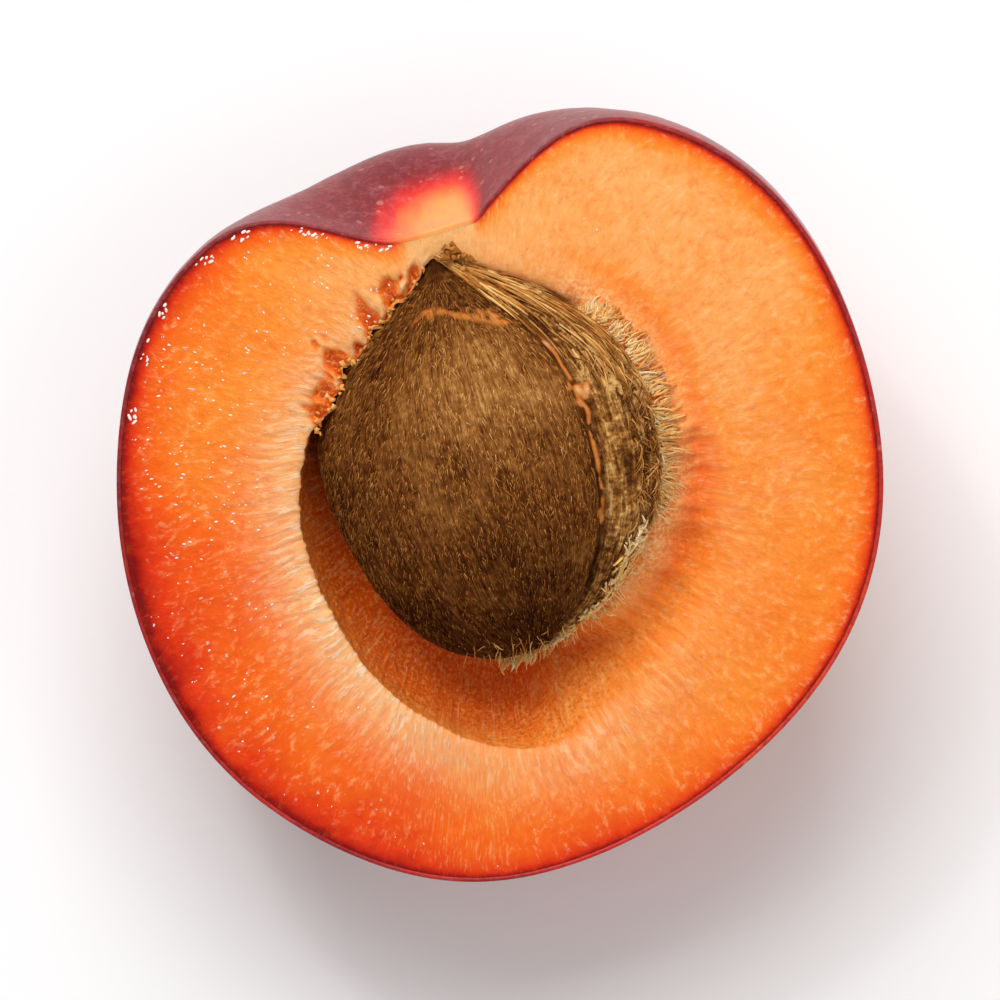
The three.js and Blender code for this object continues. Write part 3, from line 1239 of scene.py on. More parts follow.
@dataclass
class Flesh:
    """The flesh: the hollow, the cut face round it, and the hidden back under the skin, as one closed solid.

    Attributes:
        clings: directions from the hollow's middle where its edge is drawn in to the stone.
        tears: those where that edge is torn.
        trench: those where a broken trench runs beside it.
        slopes: those where the hollow is shallow beside the wall.
        pockets: torn places beside the stone on the low shoulder's side: the direction of each from the
            hollow's middle, its half width in degrees and its length.
        collar_side: directions from the stone's middle where flesh clings to it above the cut.
        collar_gaps: distances from the stone's outline there.
        collar_heights: how high the clinging flesh stands at each.
    """

    form: FruitForm
    hollow: HollowForm
    stone: StoneForm
    lie: Lie
    skin: Skin
    columns: int = 1000
    wall_rings: int = 46
    face_rings: int = 42
    back_rings: int = 8
    clings: Zone = Zone(8.0, 34.0, 150.0, 163.0)
    tears: Zone = Zone(99.0, 106.0, 150.0, 166.0)
    trench: Zone = Zone(101.0, 106.0, 152.0, 160.0)
    slopes: Zone = Zone(-75.0, -40.0, 15.0, 40.0)
    pockets: tuple[tuple[float, float, float], ...] = (
        (105.0, 1.6, 0.7), (112.0, 2.2, 1.5), (120.5, 2.6, 1.7), (128.0, 1.3, 0.7), (136.5, 3.2, 1.6),
        (146.0, 2.2, 1.0), (153.0, 3.0, 1.1),
    )
    pocket_depth: float = 0.6
    collar_side: Zone = Zone(-88.0, -46.0, 50.0, 75.0)
    collar_gaps: tuple[float, ...] = (-3.0, -0.8, -0.2, 0.3, 0.9, 1.5, 2.1, 3.0, 4.5, 7.0)
    collar_heights: tuple[float, ...] = (-5.0, 0.2, 1.1, 1.2, 0.9, 0.35, -0.5, -1.1, -1.5, -2.6)

    def edge(self, around: Array) -> Array:
        """How far the visible edge of the hollow is from its middle.

        Args:
            around: directions round the middle.

        Returns:
            Millimetres: the hollow's free edge, drawn in to the stone where the flesh clings to it.
        """
        free = self.hollow.reach(around)
        turned, far, _ = self.stone.outline(self.hollow.middle)
        stone = np.interp(around, turned, far, period=360.0)
        torn = self.tears.at(around)
        ring = direction(around, 0.0) * 13.0
        teeth = soft_noise(ring / 0.9, 31) + 0.6 * soft_noise(ring / 0.35, 32)
        notches = sum(
            0.3 * length * bell(around - middle, 1.1 * width) for middle, width, length in self.pockets
        )
        clinging = stone + 0.12 - 0.45 * torn + 0.16 * torn * teeth + notches
        small = 0.07 * rough_noise(ring / 1.0, 33) + 0.05 * soft_noise(ring / 0.28, 34)
        return free + (np.minimum(clinging, free + 0.3) - free) * self.clings.at(around) + small

    def torn(self, around: Array, from_edge: Array) -> Array:
        """How far down in a torn pocket points of the cut face are.

        Args:
            around: directions round the hollow's middle.
            from_edge: millimetres outwards from the hollow's edge.

        Returns:
            From 0 to 1: the sum of the pockets, each a steep-sided bell across its width that ends at its
            ragged length, over a broken trench beside the edge.
        """
        wobble = 0.25 * soft_noise(np.stack([around / 4.0, from_edge * 1.6, 0.0 * around], axis=-1), 35)
        torn_off = soft_noise(np.stack([around / 1.5, from_edge * 1.3, 0.0 * around], axis=-1), 36)
        wobble = wobble + 0.3 * torn_off
        trench = self.trench.at(around) * smoothstep(torn_off, -0.9, 0.5)
        trench = 0.8 * trench * (1.0 - smoothstep(from_edge, 0.2, 0.9))
        total = sum(
            bell((around - middle) * (1.0 + wobble), 1.15 * width, 2.6)
            * (1.0 - smoothstep(from_edge * (1.0 + wobble), 0.5 * length, 1.7 * length))
            for middle, width, length in self.pockets
        )
        return np.clip(np.maximum(total, trench), 0.0, 1.0)

    def rim(self, around: Array) -> Array:
        """How far the skin's inner side is from the hollow's middle.

        Args:
            around: directions round the middle.

        Returns:
            Millimetres, read off the skin's circle in the cut.
        """
        towards = direction(np.arange(0.0, 360.0, 0.1), 0.0)
        edge = towards * (self.form.radius(towards) - self.skin.thickness)[..., None]
        return reach_round(edge[:, :2] - np.array(self.hollow.middle), around)

    def stone_gap(self, points: Array) -> tuple[Array, Array]:
        """Where points are from the stone.

        Args:
            points: places in the fruit's frame.

        Returns:
            How far outside the stone's outline they are, and their direction from its middle in degrees.
        """
        around, far, _ = self.stone.outline(self.stone.middle[:2])
        offset = points[..., :2] - np.array(self.stone.middle[:2])
        turned = bearing(offset)
        return np.hypot(offset[..., 0], offset[..., 1]) - np.interp(turned, around, far, period=360.0), turned

    def collar(self, points: Array) -> Array:
        """How high the flesh that clings to the stone's keel side stands.

        Args:
            points: places in the fruit's frame.

        Returns:
            The collar's profile by the distance from the stone's outline, far down off the keel's side.
        """
        gap, turned = self.stone_gap(points)
        ring = direction(turned, 0.0) * 12.0
        uneven = 1.0 + 0.24 * soft_noise(ring / 1.3, 44) + 0.14 * soft_noise(ring / 0.5, 45)
        height = np.interp(np.where(gap > 0.0, gap * uneven, gap), self.collar_gaps, self.collar_heights)
        away = 1.0 - self.collar_side.at(turned)
        return height + 0.12 * soft_noise(ring / 0.35, 46) * bell(gap - 0.6, 1.0) - 9.0 * away

    def placed(self, around: Array, reach: Array, height: Array) -> Array:
        """Points from polar ones: directions and distances from the hollow's middle, and heights."""
        unit, (x, y) = direction(around, 0.0), self.hollow.middle
        return np.dstack([x + reach * unit[:, 0], y + reach * unit[:, 1], height])

    def wall(self, around: Array, edge: Array) -> tuple[Array, Array]:
        """The hollow's wall, from beside its deepest point up to the edge.

        Args:
            around: directions round the hollow's middle.
            edge: how far the edge is in each.

        Returns:
            The points as ring, column, coordinate, and how far each is from the hollow's middle: quarters of
            superellipses, smoothly joined to the collar where that is higher.
        """
        power = 2.0 / self.hollow.squareness(self.hollow.middle[0] + direction(around, 0.0)[:, 0] * edge)
        share = 1.0 - np.arange(1, self.wall_rings + 1) / (self.wall_rings + 1.0)
        drop = np.pi / 2.0 * share[:, None] ** (1.0 / power)
        reach = np.cos(drop) ** power * edge
        shallow = 0.6 * self.slopes.at(around) * (1.0 - smoothstep(edge - reach, 0.0, 6.0))
        points = self.placed(around, reach, -self.hollow.depth * np.sin(drop) ** power * (1.0 - shallow))
        collar = self.collar(points)
        spare = points[..., 2] - collar
        points[..., 2] = (points[..., 2] + collar + np.sqrt(spare**2 + 0.12)) / 2.0
        return points, reach

    def face(self, around: Array, edge: Array, rim: Array, top: Array) -> tuple[Array, Array, Array]:
        """The cut face, from the hollow's edge out to the skin.

        Args:
            around: directions round the hollow's middle.
            edge: how far the edge is in each.
            rim: how far the skin is.
            top: how high the wall's last ring stands.

        Returns:
            The points as ring, column, coordinate, how far each is from the hollow's middle, and how far down
            in a torn pocket.
        """
        share = np.linspace(0.0, 1.0, self.face_rings)
        share = 0.45 * share + 0.55 * (3 * share**2 - 2 * share**3)
        share[-2] = 0.998
        reach = edge + (rim - edge) * share[:, None]
        pocket = self.torn(np.broadcast_to(around, reach.shape), reach - edge)
        height = top * np.exp(-(reach - edge) / 0.35) - self.pocket_depth * pocket
        return self.placed(around, reach, height), reach, pocket

    def back(self, rim: Array) -> Array:
        """The hidden back, just inside the skin.

        Args:
            rim: the points of the cut face's last ring.

        Returns:
            Points as ring, column, coordinate, each column straight down the fruit.
        """
        heights = -90.0 * np.arange(1, self.back_rings + 1) / (self.back_rings + 1.0)
        towards = direction(*np.meshgrid(bearing(rim), heights))
        radius = self.form.radius(towards) + self.skin.fine_relief(towards) - self.skin.thickness
        return self.skin.pressed(towards * radius[..., None], np.full(self.back_rings, self.skin.thickness))

    def build(self) -> Piece:
        """The solid: the wall, the cut face and the back, with their relief.

        Returns:
            The piece, with the masks that its finish reads.
        """
        around = np.arange(self.columns) * 360.0 / self.columns
        edge, rim = self.edge(around), self.rim(around)
        wall, wall_reach = self.wall(around, edge)
        top, wall, wall_reach = wall[-1, :, 2], wall[:-1], wall_reach[:-1]
        face, face_reach, pocket = self.face(around, edge, rim, top)
        back = self.back(face[-1])
        first = np.array([*self.hollow.middle, -self.hollow.depth])
        last = self.skin.lowest(self.skin.thickness)
        surface = Surface(first, np.concatenate([wall, face, back]), last)
        reach = np.concatenate([wall_reach, face_reach])
        under = np.zeros(back.shape[:2])
        from_edge, to_rim = np.concatenate([reach - edge, under + 12.0]), np.concatenate([rim - reach, under])
        in_pocket = np.concatenate([0.0 * wall_reach, pocket, under])
        masks = self.masks(surface.rings, from_edge, to_rim, in_pocket)
        relief = self.relief(surface.rings, from_edge, to_rim, masks)
        relief[-self.back_rings:] = 0.0
        return surface.raised(relief).to_object("flesh", self.lie, masks)

    def masks(self, points: Array, from_edge: Array, to_rim: Array, in_pocket: Array) -> dict[str, Array]:
        """What the finish reads at each point.

        Args:
            points: the smooth surface.
            from_edge: millimetres outwards from the hollow's edge, less than 0 inside it.
            to_rim: millimetres to the skin.
            in_pocket: what torn() gave.

        Returns:
            ripe, cream, wet, hollow, deep and collar from 0 to 1, and the vector fibre.
        """
        at = {side: side.value.at(bearing(points)) for side in Side}
        gap, turned = self.stone_gap(points)
        keel_side, high_side = (
            Zone(start, full, 55.0, 75.0).at(turned) for start, full in ((-88.0, -50.0), (-62.0, -28.0))
        )
        # ripe also gets a deeper orange band about 3 mm out from the stone's outline on the keel side
        ripe = self.ripeness(points, to_rim, at) + 0.2 * high_side * bell(gap - 2.8, 1.1)
        cream = self.creaminess(from_edge, at) * smoothstep(points[..., 2], -0.9, -0.1)
        wet = (0.2 + 0.8 * np.maximum(at[Side.LEFT], at[Side.LOW_LEFT])) * (1.0 - in_pocket)
        inside = smoothstep(-points[..., 2], 0.05, 0.5 + 1.8 * keel_side) * (from_edge < 1.0)
        return {
            "ripe": np.clip(ripe, 0.0, 1.0),
            "cream": np.clip(cream * (1.0 - smoothstep(in_pocket, 0.1, 0.6)), 0.0, 1.0),
            "wet": np.clip(wet, 0.0, 1.0),
            "hollow": np.maximum(inside, smoothstep(in_pocket, 0.15, 0.6)),
            # deep is painted shade: darker and redder further down the hollow and in the torn pockets
            "deep": np.maximum(0.8 * smoothstep(-points[..., 2], 0.6, 7.0), in_pocket),
            "collar": high_side * bell(np.maximum(gap - 0.7, 0.0), 1.2),
            "fibre": self.fibre(points),
        }

    @staticmethod
    def ripeness(points: Array, to_rim: Array, at: dict[Side, Array]) -> Array:
        """How red the flesh is.

        Args:
            points: the smooth surface.
            to_rim: millimetres to the skin.
            at: how much each point is on each side.

        Returns:
            0 for pale and 1 for dark red: a level for each side, a band along the skin, and patches.
        """
        left, low_left, bottom = (at[side] for side in (Side.LEFT, Side.LOW_LEFT, Side.BOTTOM))
        depth = 0.75 + 1.3 * left + 3.1 * low_left + 1.3 * bottom
        patchy = 0.07 * rough_noise(points / 2.6, 41, 3)
        band = np.exp(-np.maximum(to_rim, 0.0) / depth)
        thin = np.exp(-np.maximum(to_rim, 0.0) / (0.3 + 0.3 * left))
        base = 0.09 + 0.19 * left + 0.27 * low_left + 0.24 * bottom + 0.19 * at[Side.RIGHT]
        ripe = base + (0.84 - base) * band * (0.85 + 0.15 * low_left) + 0.3 * thin * (1.0 - 0.3 * bottom)
        return ripe * (1.0 - at[Side.STEM]) + patchy * (0.3 + 1.2 * low_left * band)

    @staticmethod
    def creaminess(from_edge: Array, at: dict[Side, Array]) -> Array:
        """How creamy and fibrous the flesh is beside the hollow.

        Args:
            from_edge: millimetres outwards from the hollow's edge.
            at: how much each point is on each side.

        Returns:
            0 for plain flesh: a band along the edge, widest at the low left, and a streak beyond the keel.
        """
        beside = np.maximum(from_edge, 0.0)
        cream = bell(beside, 3.0) * (0.12 + 0.88 * np.maximum(at[Side.LOW_LEFT], 0.8 * at[Side.LEFT]))
        cream = cream + 0.3 * at[Side.BOTTOM] * bell(from_edge - 1.2, 2.2)
        cream = cream + 0.1 * at[Side.KEEL] * bell(from_edge - 4.5, 2.0, 4.0)
        return cream + 0.7 * at[Side.SHOULDER] * bell(beside, 1.1)

    def fibre(self, points: Array) -> Array:
        """A place to read noise at, stretched along the flesh's fibres.

        Args:
            points: the smooth surface.

        Returns:
            Vectors: a circle by the direction from the fibres' middle, and the distance from it.
        """
        side = smoothstep(-points[..., 0], -2.0, 8.0)
        across = points[..., 0] - (self.hollow.middle[0] + 9.0 * side)
        along = points[..., 1] - (self.hollow.middle[1] + 2.5 * side)
        spread = np.arctan2(along, across) + 0.012 * soft_noise(points / 2.2, 42)
        pitch = 46.0 + 25.0 * side
        away = np.hypot(along, across) * 0.9 + 0.4 * soft_noise(points / 1.5, 43) - points[..., 2] * 0.4
        return np.stack([np.cos(spread) * pitch, np.sin(spread) * pitch, away], axis=-1)

    def relief(self, points: Array, from_edge: Array, to_rim: Array, masks: dict[str, Array]) -> Array:
        """The cut face's and the wall's unevenness, in millimetres.

        Args:
            points: the smooth surface.
            from_edge: millimetres outwards from the hollow's edge.
            to_rim: millimetres to the skin.
            masks: what masks() gave.

        Returns:
            Slow waves, fine lumps, fibres that run outwards beside the hollow, and a rounded edge.
        """
        slow = 0.06 * soft_noise(points / 3.4, 51) + 0.03 * soft_noise(points / 1.2, 52)
        lumps = 0.03 * rough_noise(points / 0.5, 53, 3)
        fibres = 0.075 * soft_noise(masks["fibre"] * np.array([1.0, 1.0, 0.45]), 54)
        rough_wall = 0.13 * rough_noise(points / 0.9, 55, 4)
        inside = smoothstep(-points[..., 2], 0.1, 0.8) * (1.0 - smoothstep(from_edge, 0.0, 0.4))
        rounding = -0.06 * bell(from_edge, 0.25)
        at_rim = smoothstep(to_rim, 0.0, 0.6)
        strong = 0.3 + 0.9 * masks["cream"] + 0.2 * masks["collar"]
        face = (slow + lumps + fibres * strong) * at_rim
        wall = rough_wall + 0.5 * fibres + masks["collar"] * 0.2 * rough_noise(points / 0.6, 56, 3)
        crumbs = 0.05 * rough_noise(points / 0.32, 57, 2)
        return face * (1.0 - inside) + (wall + crumbs) * inside + rounding


@dataclass
class Stone:
    """The stone: a grainy shell with a ridged keel.

    Attributes:
        chips: bits of flesh stuck to the shell: the share of the length and the degrees past the groove
            where each sits, its size in millimetres and how pale it is.
    """

    form: StoneForm
    lie: Lie
    columns: int = 500
    rings: int = 190
    chips: tuple[tuple[float, float, float, float], ...] = (
        (0.335, 0.0, 0.24, 0.85), (0.425, -1.0, 0.3, 0.8), (0.445, 1.5, 0.2, 0.6), (0.64, 0.5, 0.26, 0.6),
        (0.268, 14.0, 0.42, 0.5), (0.252, 19.0, 0.3, 0.45),
    )

    def relief(self, points: Array, angle: Array, share: Array) -> dict[str, Array]:
        """The shell's relief and what its finish reads.

        Args:
            points: the smooth form.
            angle: degrees from the keel.
            share: of the length from the point.

        Returns:
            height in millimetres, and the masks relief, keel, groove, low and scrap, and grain, a place that
            is stretched along the stone. groove is painted shade in the groove; low is painted shade, darker
            towards the blunt end and the far side and lighter at a painted highlight on the dome.
        """
        above = -angle
        bent = self.form.groove_at + 3.0 * soft_noise(points / 4.0, 61)
        groove = bell(above - bent, 3.0) * smoothstep(share, 0.22, 0.34)
        keel = smoothstep(-above, -bent - 1.0, -bent + 5.0) * smoothstep(above, -46.0, -26.0)
        arc = self.form.step(above) + 0.008 * soft_noise(points / 0.8, 68)
        dome = smoothstep(share, arc - 0.006, arc + 0.02) * smoothstep(above, bent + 1.0, bent + 7.0)
        unrolled = np.concatenate([direction(angle, 0.0)[..., :2], share[..., None]], axis=-1)
        grain, strands = unrolled * 26.0, unrolled * np.array([50.0, 50.0, 13.0])
        ridges = soft_noise(strands, 62) + 0.5 * soft_noise(strands * 1.9, 63)
        crumbly = 0.9 * rough_noise(points / 0.7, 69, 3) - 0.55 * ridges
        ridges = ridges + smoothstep(share, 0.3, 0.42) * crumbly
        valley = smoothstep(share, 0.34, 0.42) * (1.0 - smoothstep(share, 0.56, 0.7))
        valley = valley * bell(above - 24.5, 4.5, 3.0)
        grains = 0.55 - grain_noise(points / 0.5, 64)
        felt = rough_noise(points / 0.4, 66, 3)
        swirls = soft_noise(grain * np.array([0.9, 0.9, 0.4]), 65)
        face = 0.09 * grains + 0.06 * felt + 0.05 * swirls + 0.09 * soft_noise(points / 2.6, 67)
        seam = bell(above - 158.0 + 4.0 * soft_noise(points / 3.0, 70), 2.4) * smoothstep(share, 0.3, 0.45)
        height = face * (1.0 - 0.5 * keel) + 0.22 * ridges * keel
        height = height - self.form.groove_depth * groove + 0.28 * dome
        scrap = self.scraps(points, above - bent, share, share - arc)
        height = height - 0.12 * valley + 0.12 * seam + 0.16 * scrap
        height = height * smoothstep(share, 0.0, 0.05)
        shown = np.clip(0.5 + 2.6 * (face * (1.0 - keel) + 0.24 * ridges * keel), 0.0, 1.0)
        # low is painted shade and highlight: darker towards the blunt end, near the point, on the far side
        # and in the valley, lighter along the seam and at a painted highlight on the upper middle of the
        # dome, with random patches
        painted_highlight = bell(share - 0.39, 0.13) * bell(above - 68.0, 36.0)
        low = np.maximum(smoothstep(share, 0.5, 0.95) * (1.0 - 0.3 * keel), 0.1 * valley)
        low = low - 0.5 * seam - 0.95 * painted_highlight
        low = low + (0.26 + 0.3 * (1.0 - smoothstep(share, 0.24, 0.36))) * (1.0 - keel)
        low = low + 0.35 * smoothstep(above, 100.0, 150.0) + 0.24 * soft_noise(points / 3.2, 75)
        return {
            "height": height, "relief": shown, "keel": np.clip(keel, 0.0, 1.0), "groove": 0.6 * groove,
            "low": np.clip(low, -1.0, 1.0), "scrap": scrap, "grain": grain,
        }

    def scraps(self, points: Array, past_groove: Array, share: Array, past_step: Array) -> Array:
        """Flesh left on the shell.

        Args:
            points: the smooth form.
            past_groove: degrees round from the groove.
            share: of the length from the point.
            past_step: share of the length beyond the dome's step.

        Returns:
            0 where the shell is bare, about 0.45 on broken lines down the groove and along the dome's edge,
            and up to 1 on the chips.
        """
        broken = smoothstep(soft_noise(points / 0.9, 71) + 0.5 * soft_noise(points / 0.3, 72), -0.9, -0.2)
        lines = bell(past_groove + 1.2 * soft_noise(points / 1.1, 73), 1.3) * smoothstep(share, 0.22, 0.3)
        lines = lines * (1.0 - smoothstep(share, 0.58, 0.68))
        bowed = 0.02 * bell(past_groove - 22.0, 16.0)
        crest = bell(past_step - 0.002 + bowed, 0.01) * smoothstep(past_groove, 3.0, 9.0)
        crest = crest * (1.0 - smoothstep(past_groove, 60.0, 86.0))
        total = 0.5 * np.maximum(lines * broken, 0.9 * crest * (0.35 + 0.65 * broken))
        ragged = 1.0 + 0.8 * soft_noise(points / 0.4, 74)
        for place, across, size, pale in self.chips:
            near = bell(np.hypot((share - place) * 22.0, (past_groove - across) * 0.13) * ragged, size, 3.0)
            total = np.maximum(total, near * pale)
        return np.clip(total, 0.0, 1.0)

    def build(self) -> Piece:
        """The shell as one closed mesh.

        Returns:
            The piece, with the masks that its finish reads.
        """
        surface, angle, share = self.form.surface(self.columns, self.rings)
        masks = self.relief(surface.rings, angle, share)
        height = masks.pop("height")
        return surface.raised(height).to_object("stone_shell", self.lie, masks)


def clumped(draw: np.random.Generator, shared: Array, each: int, spread: float) -> Array:
    """Values for strands in clumps.

    Args:
        draw: random numbers.
        shared: one value per clump.
        each: how many strands a clump has.
        spread: how much they differ inside a clump.

    Returns:
        One value per strand: its clump's, and a random part of its own.
    """
    return np.repeat(shared, each) + draw.normal(0.0, spread, len(shared) * each)


@dataclass
class Strands:
    """Many thin tapered strands in one mesh, each a four-sided tube along a bent path.

    Attributes:
        blunt: the share of its radius that a strand keeps at its tip.
    """

    name: str
    steps: int
    blunt: float = 0.17

    def build(self, root: Array, tip: Array, bend: Array, radius: Array, tone: Array, lie: Lie) -> Piece:
        """The strands.

        Args:
            root: where each starts, in the fruit's frame.
            tip: where each ends.
            bend: how far the middle of each is moved off the straight line.
            radius: each one's radius at the root.
            tone: each one's place on its finish's colours.
            lie: turns the fruit's frame into the model's.

        Returns:
            One closed mesh. A strand is a parabola from root to tip, and its radius falls off as the root of
            what is left of its length.
        """
        count = len(root)
        share = np.linspace(0.0, 1.0, self.steps + 1)
        line = root[:, None] + (tip - root)[:, None] * share[:, None]
        line = line + bend[:, None] * (4 * share * (1 - share))[:, None]
        along = np.gradient(line, axis=1)
        along /= np.maximum(np.linalg.norm(along, axis=-1, keepdims=True), 1e-9)
        side = np.cross(along, np.array([0.31, 0.17, 0.93]))
        side /= np.maximum(np.linalg.norm(side, axis=-1, keepdims=True), 1e-9)
        up = np.cross(side, along)
        thick = radius[:, None] * np.sqrt(np.maximum(1.0 - share, self.blunt**2))
        corner = np.radians([45.0, 135.0, 225.0, 315.0])
        ring = side[:, :, None] * np.cos(corner)[:, None] + up[:, :, None] * np.sin(corner)[:, None]
        points = (line[:, :, None] + ring * thick[..., None, None]).reshape(count, -1, 3)
        place = np.arange((self.steps + 1) * 4).reshape(self.steps + 1, 4)
        beside = np.roll(place, -1, axis=1)
        sides = np.stack([place[1:], beside[1:], beside[:-1], place[:-1]], axis=-1).reshape(-1, 4)
        faces = np.concatenate([sides, place[0][None], place[-1][::-1][None]])
        quads = (faces[None] + (np.arange(count) * points.shape[1])[:, None, None]).reshape(-1, 4)
        tones = np.repeat(tone, points.shape[1])
        flat = lie.to_model(points.reshape(-1, 3))
        return make_object(self.name, flat, quads, np.zeros((0, 3), int), {"tone": tones})


@dataclass
class Fibres:
    """What hangs between the flesh and the stone: torn flesh, straw on the keel, and wisps at the blunt end.

    Attributes:
        tuft_counts: how many tufts stand on the collar, and how many fibres each has.
        fringe_counts: the same for the shreds over the keel's edge.
        pads: middles of the matted pads at the hollow's ends.
    """

    stone: StoneForm
    shell: Stone
    flesh: Flesh
    lie: Lie
    seed: int = 7
    tuft_counts: tuple[int, int] = (190, 7)
    fringe_counts: tuple[int, int] = (64, 6)
    scrap_count: int = 44
    straw_count: int = 900
    wisp_count: int = 90
    pads: tuple[tuple[float, float, float], ...] = ((-3.4, 16.3, 0.5), (-2.3, 15.9, 0.7), (7.0, 11.3, -0.6))
    pad_strands: int = 14
    hair_count: int = 7600

    def torn_flesh(self) -> Piece:
        """Pale fibres in tufts from the stone's keel side and over its edge, and scraps at the low shoulder.

        Returns:
            The piece.
        """
        draw = np.random.default_rng(self.seed)
        rows = zip(self.tufts(draw), self.ragged_edge(draw), self.fringe(draw))
        return Strands("torn_flesh", 5, 0.3).build(*(np.concatenate(row) for row in rows), self.lie)

    def tufts(self, draw: np.random.Generator) -> Bundle:
        """Tufts of torn fibres that run from under the stone's keel edge outwards over the collar.

        Args:
            draw: random numbers.

        Returns:
            What Strands.build takes.
        """
        tufts, each = self.tuft_counts
        centre = self.stone.middle[:2]
        turned, far, height = self.stone.outline(centre)
        count = tufts * each
        where = draw.uniform(-84.0, 60.0, tufts)
        swing = clumped(draw, draw.normal(-8.0, 22.0, tufts), each, 9.0)
        angle = clumped(draw, where, each, 1.2)
        full = Zone(-78.0, -35.0, 30.0, 58.0).at(angle)
        low = Zone(-80.0, -55.0, -30.0, -5.0).at(angle)
        start = clumped(draw, draw.uniform(-0.15, 0.9, tufts), each, 0.12) - 0.9 * low
        start = start - 0.35 * Zone(-55.0, -30.0, 5.0, 25.0).at(angle)
        size = np.repeat(draw.uniform(0.4, 1.5, tufts), each) * draw.uniform(0.6, 1.1, count)
        size = size * (0.85 + 0.25 * full + 0.3 * low)
        middle = np.array([*centre, 0.0])
        root = middle + direction(angle, 0.0) * (np.interp(angle, turned, far, period=360.0) + start)[:, None]
        tip = root + direction(angle + swing, 0.0) * size[:, None]
        edge = np.interp(angle, turned, height, period=360.0)
        share = 1.0 - smoothstep(start + 0.9 * low, -0.1, 0.9)
        ground = np.maximum(self.flesh.collar(root), -2.5)
        root[:, 2] = ground - 0.1 + share * (edge - 0.8 - ground) * full + low * share * 0.8
        tip[:, 2] = np.maximum(self.flesh.collar(tip), -2.5)
        tip[:, 2] += draw.uniform(0.0, 0.4, count) * (0.3 + 0.7 * full)
        tip[:, 2] += 0.7 * low * draw.uniform(0.2, 1.0, count)
        bend = draw.normal(0.0, 0.09, (count, 3)) * size[:, None]
        bend[:, 2] = draw.uniform(0.0, 0.16, count)
        tone = np.clip(clumped(draw, draw.normal(0.62, 0.2, tufts), each, 0.1), 0.0, 1.0)
        return root, tip, bend, draw.uniform(0.06, 0.15, count), tone

    def fringe(self, draw: np.random.Generator) -> Bundle:
        """Cream shreds stuck to the stone's keel edge that lie over it, most of them towards the blunt end.

        Args:
            draw: random numbers.

        Returns:
            What Strands.build takes.
        """
        clumps, each = self.fringe_counts
        count = clumps * each
        share = clumped(draw, 0.97 - 0.3 * draw.uniform(0.0, 1.0, clumps) ** 1.3, each, 0.008)
        share = np.minimum(share, 0.985)
        above = clumped(draw, draw.uniform(-6.0, 12.0, clumps), each, 2.0)
        down = clumped(draw, draw.normal(0.0, 0.02, clumps), each, 0.008)
        root, up = self.on_stone(share, above)
        tip, tip_up = self.on_stone(np.clip(share + down, 0.1, 0.99), above + draw.uniform(2.0, 9.0, count))
        tip = tip + tip_up * draw.uniform(0.1, 0.45, count)[:, None]
        tone = np.clip(clumped(draw, draw.normal(0.68, 0.2, clumps), each, 0.1), 0.0, 1.0)
        bend = up * draw.uniform(0.05, 0.25, count)[:, None]
        return root, tip, bend, draw.uniform(0.07, 0.17, count), tone

    def ragged_edge(self, draw: np.random.Generator) -> Bundle:
        """Blunt scraps of torn flesh along the hollow's edge over the stone, on the low shoulder's side.

        Args:
            draw: random numbers.

        Returns:
            What Strands.build takes.
        """
        count = self.scrap_count
        around = draw.uniform(102.0, 160.0, count)
        from_edge = draw.uniform(-0.1, 0.5, count)
        unit = direction(around, 0.0)
        middle = np.array([*self.flesh.hollow.middle, 0.0])
        root = middle + unit * (self.flesh.edge(around) + from_edge)[:, None]
        root[:, 2] = -0.1 - self.flesh.pocket_depth * self.flesh.torn(around, from_edge)
        aside = np.stack([-unit[:, 1], unit[:, 0], 0 * around], axis=-1)
        swing = aside * draw.normal(0.1, 0.6, count)[:, None]
        tip = root - (unit + swing) * draw.uniform(0.15, 0.5, count)[:, None]
        tip[:, 2] += draw.uniform(-0.1, 0.08, count)
        bend = draw.normal(0.0, 0.08, (count, 3))
        tone = np.clip(draw.normal(0.36, 0.2, count), 0.0, 1.0)
        return root, tip, bend, draw.uniform(0.12, 0.26, count), tone

    def on_stone(self, share: Array, above: Array) -> tuple[Array, Array]:
        """Points on the stone and outward unit normals.

        Args:
            share: of the length from the point.
            above: degrees from the keel, towards the side that shows.

        Returns:
            The points, on top of the shell's relief, and the smooth form's normals.
        """
        here = self.stone.point(share, -above)
        ahead = self.stone.point(share + 0.004, -above) - here
        across = self.stone.point(share, -above + 0.5) - here
        normal = np.cross(ahead, across)
        normal = normal / np.linalg.norm(normal, axis=-1, keepdims=True)
        height = self.shell.relief(here, -above, share)["height"]
        return here + normal * height[:, None], normal

